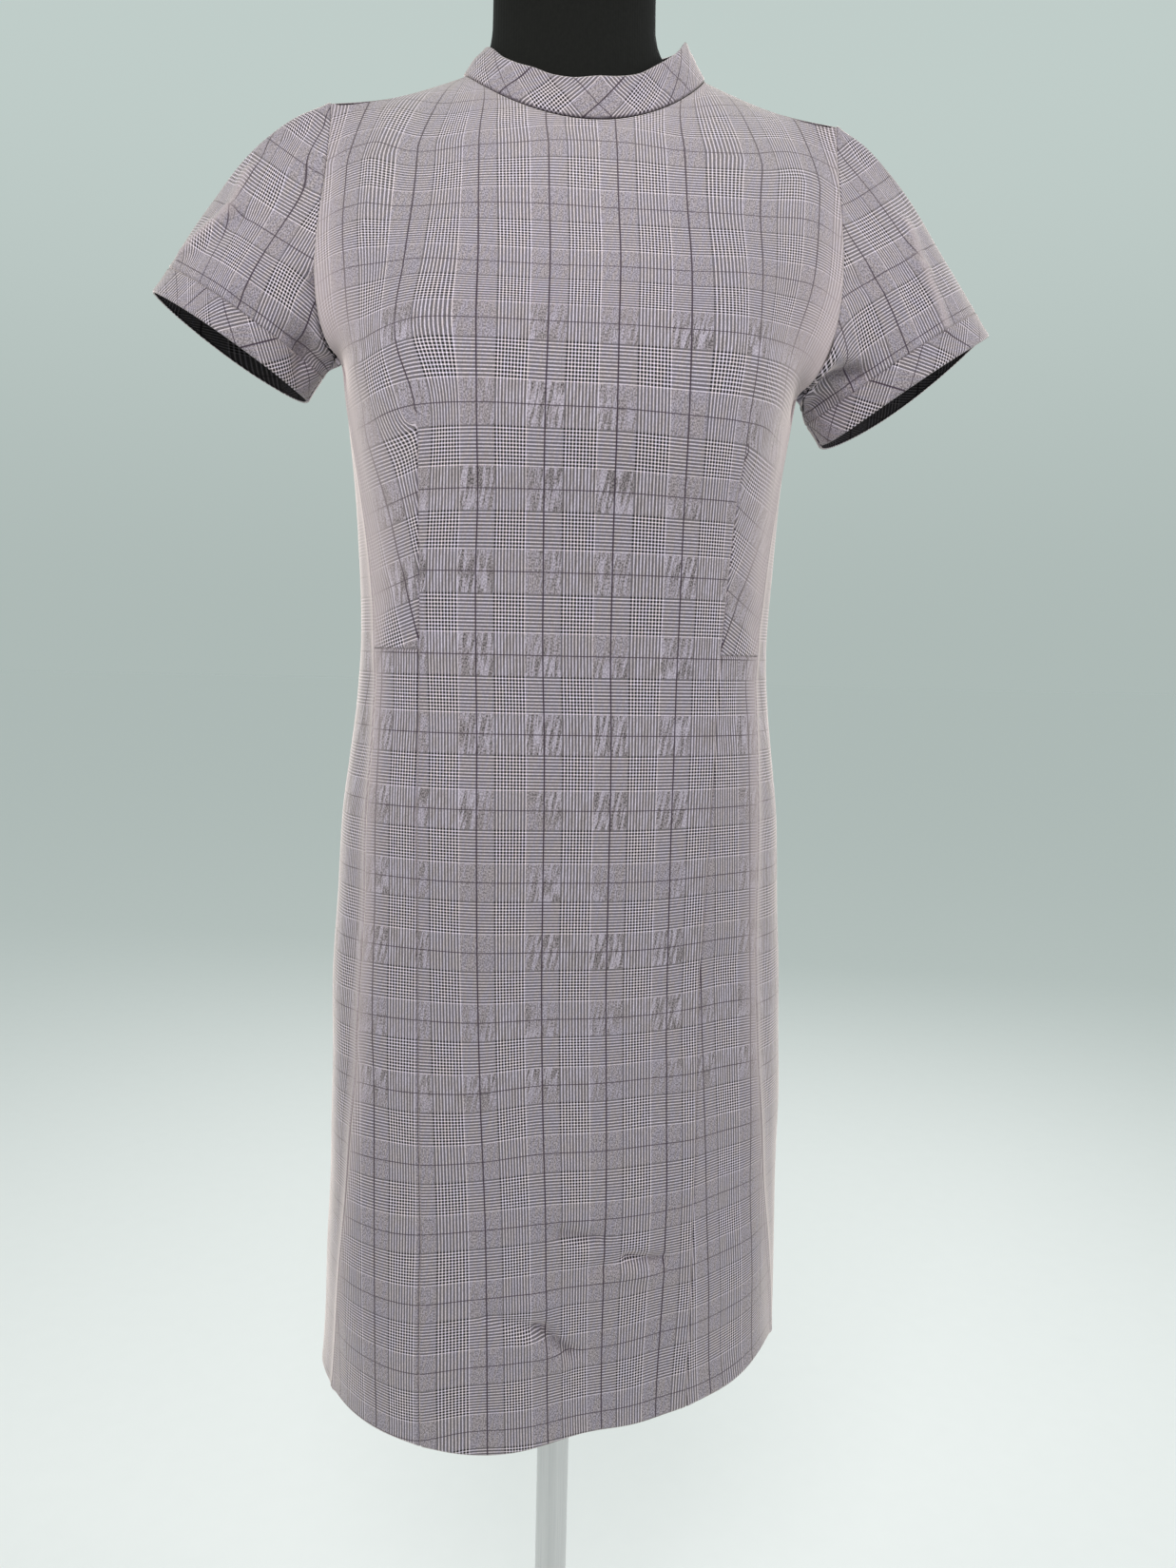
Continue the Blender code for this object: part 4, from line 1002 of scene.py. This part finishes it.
# u0, v0, u1, v1, depth, width: u runs round the sleeve from its top to the front, v up from the band's seam
SLEEVE_CREASES = {
    -1: creases_of(
        (14, 88, 40, 55, 2.8, 5.5),
        (40, 55, 30, 12, 2.8, 5.5),
        (54, 56, 48, 18, -1.6, 7.0),
        (124, 48, 164, 14, -6.6, 7.5),
        (135, 20, 150, -6, -3.2, 7.0),
        (106, 40, 134, 12, 2.0, 8.0),
        (90, 4, 108, 0, -2.2, 6.0),
        (128, 6, 152, 1, -3.6, 7.5),
        (-60, 80, -45, 20, -2.0, 11.0),
        (-110, 10, -140, 45, -2.4, 10.0),
    ),
    1: creases_of(
        (28, 80, 53, 45, 2.7, 5.5),
        (53, 45, 68, 2, 2.5, 5.5),
        (70, 52, 86, 10, -1.2, 7.0),
        (164, 52, 134, 14, 2.6, 6.5),
        (180, 36, 138, 8, -6.6, 8.0),
        (186, 20, 160, 2, -3.5, 12.0),
        (126, 66, 98, 58, -1.8, 8.0),
        (-50, 85, -60, 20, -2.0, 12.0),
        (-115, 12, -145, 50, -2.2, 10.0),
    ),
}
PALE_FOLDS, FOLD_SHEEN_PAINT = 2, 0.6  # each sleeve's first two creases are folds with a painted highlight along their ridges
SLEEVE_CHECK_AT = {-1: (0.004, 0.006), 1: (0.013, 0.006)}
SLEEVE_LEAN = 0.19  # the sleeve's warp leans to the back on its way up
SLEEVE_TWIST = {-1: 0.42, 1: 0.05}  # and more so over the top of the sleeve
OTHER_STRETCH = (0.0, 8 * WEFT.repeat / 1000)  # the small pieces come from a stretch without streaks


def sleeve_axis(side):
    """Unit vector out of the cuff, square to its plane."""
    across = np.array([side.sign * (side.cuff_out_x - side.cuff_in_x), 0, side.cuff_out_z - side.cuff_in_z])
    out = np.cross(across, [0, 1, 0])
    return out / length_of(out) * (-1 if out[2] > 0 else 1)


def sleeve_net(side):
    """Net from the cuff's edge to the armhole, columns starting underarm; row 1 is the band's seam."""
    k = 0 if side is RIGHT else -1
    front_edge, back_edge = front_net[UNDERARM_ROW:, k], back_net[UNDERARM_ROW:, -1 - k]
    hole = np.concatenate([front_edge[::-1], back_edge[1:-1]])
    angle = np.linspace(0, 2 * math.pi, AROUND, endpoint=False)
    outer = np.array([side.sign * side.cuff_out_x, CUFF_Y, side.cuff_out_z])
    inner = np.array([side.sign * side.cuff_in_x, 0.0, side.cuff_in_z])
    over, ahead = np.cos(angle)[:, None], np.sin(angle)[:, None]
    cuff = (outer + inner) / 2 + over * (outer - inner) / 2 - ahead * CUFF_DEEP * np.array([0, 1, 0])
    out, sag = sleeve_axis(side), CUFF_SAG[side.sign]
    cuff = cuff + np.abs(ahead) * (sag - sag * ahead) * out
    seam = cuff - out * BAND_WIDTH
    top = (1 + np.cos(angle)) / 2
    depth = (hole - hole.mean(axis=0))[:, 1] * 2
    sideways = side.sign * (0.55 + (0.45 + 0.30 * side.cap) * top)
    leave = joined(sideways, depth, -0.75 + (0.45 + 0.15 * side.cap) * top)
    leave = leave / length_of(leave)[:, None] * (1 + side.cap * (0.5 * top - 0.2))[:, None]
    span = length_of(seam - hole)[:, None]
    t = np.linspace(1, 0, SLEEVE_ROWS + 1)[:, None, None]
    net = np.concatenate([cuff[None], hermite(hole, leave * span, seam, out * span, t)])
    # the loop starts at the shoulder tip and runs down the front; it is cut open underarm
    net = np.roll(net, -YOKE_ROWS, axis=1)
    return net if side is RIGHT else np.roll(net[:, ::-1], 1, axis=1)


def closed_grid(net, at_row, rows):
    """Dense grid from a net that closes on itself; its last column repeats the first."""
    wrapped = np.concatenate([net[:, -3:], net, net[:, :4]], axis=1)
    places = places_along(wrapped, 1)
    start, end = places[3], places[3 + net.shape[1]]
    at_column = start + places_with_seams(end - start, [0.0, end - start], FINE_PITCH)
    return dense(wrapped, at_row, rows, at_column, places)


def sleeve_places(u, v, sign):
    """Places on the sleeve's check. The twist is about 62 mm up, fully over the top of the sleeve, and near
    the armhole the weft is eased down by 8.5 mm."""
    share = eased(np.interp(u, [-0.150, -0.030, 0.040, 0.090], [0.0, 1.0, 1.0, 0.0]))
    twist = SLEEVE_TWIST[sign] * (v - 0.062) * share
    down = 0.0085 * np.clip((v - 0.055) / 0.05, 0, 1)
    return joined(u + SLEEVE_LEAN * v + twist, v - down) - SLEEVE_CHECK_AT[sign]


def turned_check(places, angle):
    return joined(*rotated(*np.moveaxis(places, -1, 0), angle)) + OTHER_STRETCH


for side in (RIGHT, LEFT):
    net, creases = sleeve_net(side), SLEEVE_CREASES[side.sign]
    rows = places_along(net, 0)
    at_row = places_with_seams(rows[-1], [0.0, rows[1], rows[-1]], FINE_PITCH)
    grid = closed_grid(net, at_row, rows)
    split = int(np.argmin(np.abs(at_row - rows[1])))
    facing = normals_of(grid[:, :-1], closed=True)
    facing = np.concatenate([facing, facing[:, :1]], axis=1)
    around = run_along(grid[[split]], 1)
    u, v = unrolled(grid, facing, -sleeve_axis(side), split, around)
    u = (around[0, -1] / 2 - u) * side.sign  # from the top of the sleeve, positive towards the front
    move = creased(u, v, creases) + 0.0005 * uneven(u, v, 0.05, 11 + side.sign)
    # painted highlight along the ridges of the first two creases, and painted shade at the bottom of the
    # deep troughs
    folds = [crease._replace(depth=FOLD_SHEEN_PAINT, width=0.0030) for crease in creases[:PALE_FOLDS]]
    painted_sheen, fold_dark = np.minimum(creased(u, v, folds), FOLD_SHEEN_PAINT), painted_trough_shade(u, v, creases)
    grid = grid + facing * move[..., None]
    from_left, from_right, _, upward = from_edges(grid)
    for name, part, ends, bias in (
        ("sleeve", slice(split, None), (BAND_SEAM, ARMHOLE_SEAM), 0.0),
        ("sleeve_band", slice(None, split + 1), (HEM_EDGE, BAND_SEAM), BIAS),
    ):
        rise = upward[part] - upward[part][:1]
        distances = (np.minimum(from_left, from_right)[part], rise, rise[-1:] - rise)
        move, dark = edge_relief(distances, (UNDERARM_SEAM, *ends))
        points = (grid[part] + facing[part] * move[..., None])[:, :-1]
        dark = np.maximum(dark, fold_dark[part])[:, :-1]
        uv = turned_check(sleeve_places(u[part], v[part], side.sign), bias)
        sewn(f"{name}_{side.name}", points, uv, dark, painted_sheen[part][:, :-1], closed=True)

# %% [markdown]
# ## Stand collar
#
# The collar is a strip cut on the bias, which lets it take the oval of the neckline and lean in. It is open
# at centre back, where the zip ends. Its free edge isn't quite even.

# %% Collar
COLLAR_HEIGHT, COLLAR_LEAN, SIDE_LEAN = 0.028, 0.006, 0.016
COLLAR_GAP = 0.0003  # between the collar and the neckline, and at centre back


def collar_net():
    """Rows from the neckline seam up. The inward lean is smallest at the front and the back."""
    angle = np.concatenate([-ACROSS[:0:-1], ACROSS]) * math.pi / 2
    seam = neckline(angle)
    seam[[0, -1], 0] += [-COLLAR_GAP / 2, COLLAR_GAP / 2]
    lean = COLLAR_LEAN + (SIDE_LEAN - COLLAR_LEAN) * np.sin(angle) ** 2
    inwards = (seam.mean(axis=0) - seam) * [1, 1, 0]
    inwards /= length_of(inwards)[:, None]
    rise = np.sqrt(COLLAR_HEIGHT**2 - lean**2) * (1 + 0.10 * np.sin(angle))
    share = np.array([0.0, 0.5, 1.0])[:, None, None]
    return seam + share * (inwards * lean[:, None] + rise[:, None] * UP) + [0, 0, COLLAR_GAP]


net = collar_net()
rows, columns = places_along(net, 0), places_along(net, 1)
at_row, at_column = (places_with_seams(each[-1], [0.0, each[-1]], FINE_PITCH) for each in (rows, columns))
grid = dense(net, at_row, rows, at_column, columns)
u, v = run_along(grid, 1), run_along(grid, 0)
grid[..., 2] += 0.0009 * uneven(u, 0 * v, 0.030, 21) * (v / v[-1:]) ** 2
distances = (u, u[:, -1:] - u, v, v[-1:] - v)
# painted shade in the grooves at centre back and at the neckline
move, dark = edge_relief(distances, (ZIP_SEAM, ZIP_SEAM, NECK_SEAM, COLLAR_EDGE))
move = move + 0.0006 * (1 + uneven(u, v, 0.026, 22)) * (v / v[-1:]) ** 0.5
uv = turned_check(joined(u - u[:, -1:] / 2, v) - [0.004, 0.010], BIAS)
sewn("collar", moved(grid, move), uv, dark)

# %% [markdown]
# ## The form under the dress
#
# A copy of the form's solid, with its loose triangles merged and one Subdivision Surface, is as smooth as a
# moulded form. A fine stretch jersey covers it.

# %% Form
recipe = Recipe(bpy.data.materials.new("black_jersey_cover"))
place = recipe.object_place()
values = {"Vector": place, "Scale": 180.0, "Distortion": 0.6, "Detail": 1.0}
ribs = recipe.add("TexWave", out=1, values=values)
fuzz = recipe.noise(place, 420.0, 3.0)
recipe.bump(recipe.math("ADD", ribs, fuzz), 0.25, 0.0004)
jersey = recipe.finish(
    Base_Color=recipe.mix(fuzz, (0.003, 0.003, 0.0025, 1), (0.008, 0.008, 0.007, 1)),
    Roughness=0.85,
    Specular_IOR_Level=0.15,
    Sheen_Weight=0.03,
    Sheen_Roughness=0.4,
)

bm = bmesh.new()
bm.from_mesh(frame["nodes"]["torso_form"].data)
bmesh.ops.remove_doubles(bm, verts=bm.verts, dist=0.00005)
bmesh.ops.recalc_face_normals(bm, faces=bm.faces)
form_mesh = bpy.data.meshes.new("dress_form")
bm.to_mesh(form_mesh)
bm.free()
form_mesh.shade_smooth()
smooth = add_piece(form_mesh, (jersey,), "torso_form").modifiers.new("smooth", "SUBSURF")
smooth.levels = smooth.render_levels = 1
print("form", len(form_mesh.polygons), "faces before smoothing")

# %% [markdown]
# ## The stand
#
# Pole, flange, base and hub are turned steel: a profile carried round the upright axis, with points at
# (r cos a, r sin a, z) and rims rounded by quarter circles. The black cap that closes the form's neck is
# turned too and then squeezed to the neck's oval.

# %% Steel and enamel
recipe = Recipe(bpy.data.materials.new("brushed_steel"))
place = recipe.object_place()
brushed = recipe.noise(recipe.stretched(place, 900.0, 900.0, 14.0), 1.0, 3.0)
recipe.bump(brushed, 0.12, 0.0002)
steel = recipe.finish(
    Base_Color=recipe.mix(brushed, (0.52, 0.52, 0.53, 1), (0.68, 0.68, 0.67, 1)),
    Metallic=1.0,
    Roughness=recipe.sum(0.20, (brushed, 0.16), (recipe.noise(place, 9.0), 0.14)),
)
recipe = Recipe(bpy.data.materials.new("black_enamel_cap"))
place = recipe.object_place()
scuff = recipe.noise(recipe.stretched(place, 60.0, 9.0, 30.0), 1.0, 4.0)
recipe.bump(recipe.noise(place, 320.0), 0.10, 0.0003)
enamel = recipe.finish(
    Base_Color=recipe.mix(scuff, (0.018, 0.018, 0.019, 1), (0.034, 0.034, 0.034, 1)),
    Roughness=recipe.sum(0.28, (scuff, 0.30)),
)

# %% Stand
RIM_STEPS = 7
SHARP = math.radians(35)
Disc = namedtuple("Disc", "radius low high rounding")


def rim(disc):
    """Profile of a disc from its underside's rim up to its top's."""
    arc = np.linspace(0, math.pi / 2, RIM_STEPS)
    inner, soft = disc.radius - disc.rounding, disc.rounding
    lower = joined(inner + soft * np.sin(arc), disc.low + soft * (1 - np.cos(arc)))
    upper = joined(inner + soft * np.cos(arc), disc.high - soft * (1 - np.sin(arc)))
    return np.concatenate([lower, upper])


def turned(profile, steps=128):
    """Rings of points, one for each (radius, z) of the profile."""
    angle = np.linspace(0, 2 * math.pi, steps, endpoint=False)
    radius, z = np.asarray(profile)[:, :1], np.asarray(profile)[:, 1:]
    return joined(radius * np.cos(angle), radius * np.sin(angle), z)


def solid_mesh(name, parts):
    """Closed surfaces from rings of points: rings that come back to the first are joined to it, and others
    are closed by a fan about the middle of each end ring."""
    points, faces = [], []
    for rings in parts:
        start = sum(len(block) for block in points)
        looped = np.allclose(rings[0], rings[-1])
        rings = rings[:-1] if looped else rings
        number = start + np.arange(rings[..., 0].size).reshape(rings.shape[:2])
        number = np.concatenate([number, number[:, :1]], axis=1)
        number = np.concatenate([number, number[:1]]) if looped else number
        faces += quads(number).tolist()
        points.append(rings.reshape(-1, 3))
        if not looped:
            foot = start + rings[..., 0].size
            low_rim, high_rim = number[0].tolist(), number[-1].tolist()
            faces += [(foot, b, a) for a, b in zip(low_rim, low_rim[1:])]
            faces += [(foot + 1, a, b) for a, b in zip(high_rim, high_rim[1:])]
            points.append(rings[[0, -1]].mean(axis=1))
    mesh = bpy.data.meshes.new(name)
    mesh.from_pydata(np.concatenate(points).tolist(), [], faces)
    mesh.shade_smooth()
    mesh.set_sharp_from_angle(angle=SHARP)
    return mesh


base_top, hub_top, hub_radius, pole_radius = 0.008, 0.038, 0.022, 0.0125
flange_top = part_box("stand_pole")[1][2]
flange = Disc(0.045, flange_top - 0.008, flange_top, 0.0015)
base = rim(Disc(0.180, 0.0, base_top, 0.0025))
hub = rim(Disc(hub_radius, base_top, hub_top, 0.002))[RIM_STEPS:]
pole = [(pole_radius, hub_top + 0.0003), (pole_radius, flange.low)]
cap_low, cap_high = np.array(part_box("form_neck_cap"))
cap_middle, cap_half = (cap_low + cap_high) / 2, (cap_high - cap_low) / 2
cap = turned(rim(Disc(cap_half[0], cap_low[2], cap_high[2], 0.003)))
cap = cap * [1, cap_half[1] / cap_half[0], 1] + [*cap_middle[:2], 0]
for name, node, rings, material, slot in (
    ("dress_stand_base", "stand_base", turned([*base, (hub_radius, base_top), *hub]), steel, "satin_steel"),
    ("dress_stand_pole", "stand_pole", turned([*pole, *rim(flange)]), steel, "satin_steel"),
    ("dress_form_cap", "form_neck_cap", cap, enamel, "black_enamel"),
):
    add_piece(solid_mesh(name, [rings]), (material,), node)
    print(name, "height", round(float(np.ptp(rings[..., 2])), 4))

# %% [markdown]
# ## Zip slider and pull
#
# The zip is a concealed one, so only its closed seam, its slider and its pull show. Each metal part is a
# few plates with soft rims: the outline is a rounded box, and over the rim a point moves in as 1 - cos b
# while it crosses the thickness as sin b. The pull swings on the slider's pin.

# %% Zip
pin = np.array(frame["joints"][0]["pos_m"])
collar_rise = math.sqrt(COLLAR_HEIGHT**2 - COLLAR_LEAN**2)
zip_out = np.array([0, collar_rise, COLLAR_LEAN]) / COLLAR_HEIGHT  # square to the collar at centre back
zip_up = np.array([0, -COLLAR_LEAN, collar_rise]) / COLLAR_HEIGHT
Plate = namedtuple("Plate", "axis middle half edge squareness taper", defaults=(3.0, 0.0))
SLIDER_PLATES = (
    Plate(1, (0, -0.00235, -0.0030), (0.0030, 0.00075, 0.0045), 0.0006, 3.0, 0.12),
    *(Plate(0, (x, -0.0006, 0), (0.0004, 0.0017, 0.0011), 0.0002) for x in (0.0020, -0.0020)),
    Plate(0, (0, 0, 0), (0.0023, 0.0005, 0.0005), 0.0001, 2.0),
)
PULL_PLATES = (
    Plate(1, (0, 0, -0.0130), (0.0030, 0.0006, 0.0090), 0.0005, 2.6, -0.16),
    Plate(1, (0, 0, -0.0029), (0.0011, 0.0005, 0.0020), 0.0003),
)


def from_pin(local):
    """Points set out from the pin: across the zip, out of the collar and up it."""
    return pin + local[..., :1] * [1, 0, 0] + local[..., 1:2] * zip_out + local[..., 2:] * zip_up


def plate_rings(plate, around=48, over=9):
    """Rings of a plate about its axis."""
    a = np.linspace(0, 2 * math.pi, around, endpoint=False)
    b = np.linspace(-math.pi / 2, math.pi / 2, over)[:, None]
    first, second = (plate.axis + 1) % 3, (plate.axis + 2) % 3
    box = [box_round(wave, 2 / plate.squareness) for wave in (np.cos(a), np.sin(a))]
    local = np.zeros((over, around, 3))
    for way, outline in zip((first, second), box):
        local[..., way] = outline * (plate.half[way] - plate.edge * (1 - np.cos(b)))
    local[..., second] *= (1 + plate.taper * box[0]) / (1 + abs(plate.taper))
    local[..., plate.axis] = plate.half[plate.axis] * np.sin(b)
    return from_pin(local + plate.middle)


def eye_rings(inner=0.0008, outer=0.0013, half=0.0013, soft=0.00015, around=40):
    """The pull's eye: rings along a short tube round the pin, out over its wall and back inside."""
    a = np.linspace(0, 2 * math.pi, around, endpoint=False)
    across = [-half, -half, -half + soft, half - soft, half, half, -half]
    radius = [inner, outer - soft, outer, outer, outer - soft, inner, inner]
    return from_pin(np.stack([joined(x, r * np.cos(a), r * np.sin(a)) for x, r in zip(across, radius)]))


slider_parts = [plate_rings(plate) for plate in SLIDER_PLATES]
pull_parts = [eye_rings(), *(plate_rings(plate) for plate in PULL_PLATES)]
add_piece(solid_mesh("dress_zip_slider", slider_parts), (steel,), "zip_slider")
add_piece(solid_mesh("dress_zip_pull", pull_parts), (steel,), "zip_pull", body="pull_tab")
print("zip pin at", np.round(pin, 4))

# %% [markdown]
# ## Floor and light
#
# A plain pale floor and a pale sky give an even ground, and near the horizon the sky takes the floor's
# colour. A high wide lamp in front shapes the cloth, and two from the sides light the sides of the dress.

# %% Studio
STUDIO, FLOOR_SHARE, REACH = (0.62, 0.72, 0.69), 0.80, 40.0
floor_mesh = bpy.data.meshes.new("floor")
corners = [(x * REACH, y * REACH, 0) for x, y in ((-1, -1), (1, -1), (1, 1), (-1, 1))]
floor_mesh.from_pydata(corners, [], [(0, 1, 2, 3)])
recipe = Recipe(bpy.data.materials.new("studio_floor"))
speckle = recipe.noise(recipe.object_place(), 35.0, 3.0)
darker, paler = (shaded((1, 1, 1), FLOOR_SHARE + step) for step in (-0.01, 0.01))
floor_colour = recipe.mix(speckle, darker, paler)
floor_mesh.materials.append(recipe.finish(Base_Color=floor_colour, Roughness=0.95, Specular_IOR_Level=0.1))
linked("floor", floor_mesh)

bpy.context.scene.view_settings.view_transform = "Standard"
recipe = Recipe(bpy.data.worlds.new("studio"), "Background")
upward = recipe.add("SeparateXYZ", out=2, values={0: recipe.add("TexCoord")})
sky = recipe.mix(recipe.between(upward, 0.0, 0.45), shaded(STUDIO, FLOOR_SHARE), shaded(STUDIO, 1.0))
bpy.context.scene.world = recipe.finish(Color=sky, Strength=0.85)

Lamp = namedtuple("Lamp", "name place aim size power colour")
LAMPS = (
    Lamp("key", (-0.25, -1.4, 1.9), (0, 0, 1.35), 0.8, 18, (1.0, 0.97, 0.97)),
    Lamp("left_side", (-1.8, -0.4, 2.0), (0, 0, 1.5), 0.8, 7.5, (1.0, 0.94, 0.90)),
    Lamp("right_side", (1.8, -0.35, 2.1), (0, 0, 1.6), 0.8, 12.5, (1.0, 0.95, 0.97)),
    Lamp("back", (0.4, 1.8, 2.2), (0, 0, 1.2), 0.9, 22, (1.0, 0.98, 0.98)),
)
for lamp in LAMPS:
    data = bpy.data.lights.new(lamp.name, "AREA")
    data.energy, data.size, data.color = lamp.power, lamp.size, lamp.colour
    light = linked(lamp.name, data)
    light.location = lamp.place
    towards = Vector(lamp.aim) - Vector(lamp.place)
    light.rotation_euler = towards.to_track_quat("-Z", "Y").to_euler()
print("lamps:", [lamp.name for lamp in LAMPS])

# %% [markdown]
# ## How each piece was cut
#
# Every cloth piece is listed with the width, length and area of its flat cut, which is no rectangle, how it
# is held and what it rests on, and its measured area is printed beside the flat one.

# %% Cuts
Cut = namedtuple("Cut", "piece width length area held rests_on")
CUTS = (
    Cut("front", 0.450, 1.020, 0.264, "draped", ("form",)),
    Cut("skirt_side_right", 0.100, 0.575, 0.032, "hung", ("front",)),
    Cut("skirt_side_left", 0.105, 0.575, 0.035, "hung", ("front",)),
    Cut("back_right", 0.285, 1.020, 0.256, "draped", ("form",)),
    Cut("back_left", 0.285, 1.020, 0.256, "draped", ("form",)),
    Cut("sleeve_right", 0.375, 0.160, 0.031, "hung", ("front", "back_right")),
    Cut("sleeve_left", 0.415, 0.160, 0.035, "hung", ("front", "back_left")),
    Cut("sleeve_band_right", 0.370, 0.020, 0.0073, "hung", ("sleeve_right",)),
    Cut("sleeve_band_left", 0.400, 0.020, 0.0080, "hung", ("sleeve_left",)),
    Cut("collar", 0.460, 0.029, 0.0132, "draped", ("front", "form")),
)
for each in CUTS:
    piece = bpy.data.objects[f"dress_{each.piece}"]
    measured = sum(face.area for face in piece.data.polygons)
    print(piece.name, "measures", round(measured, 4), "of", each.area, "square metres")
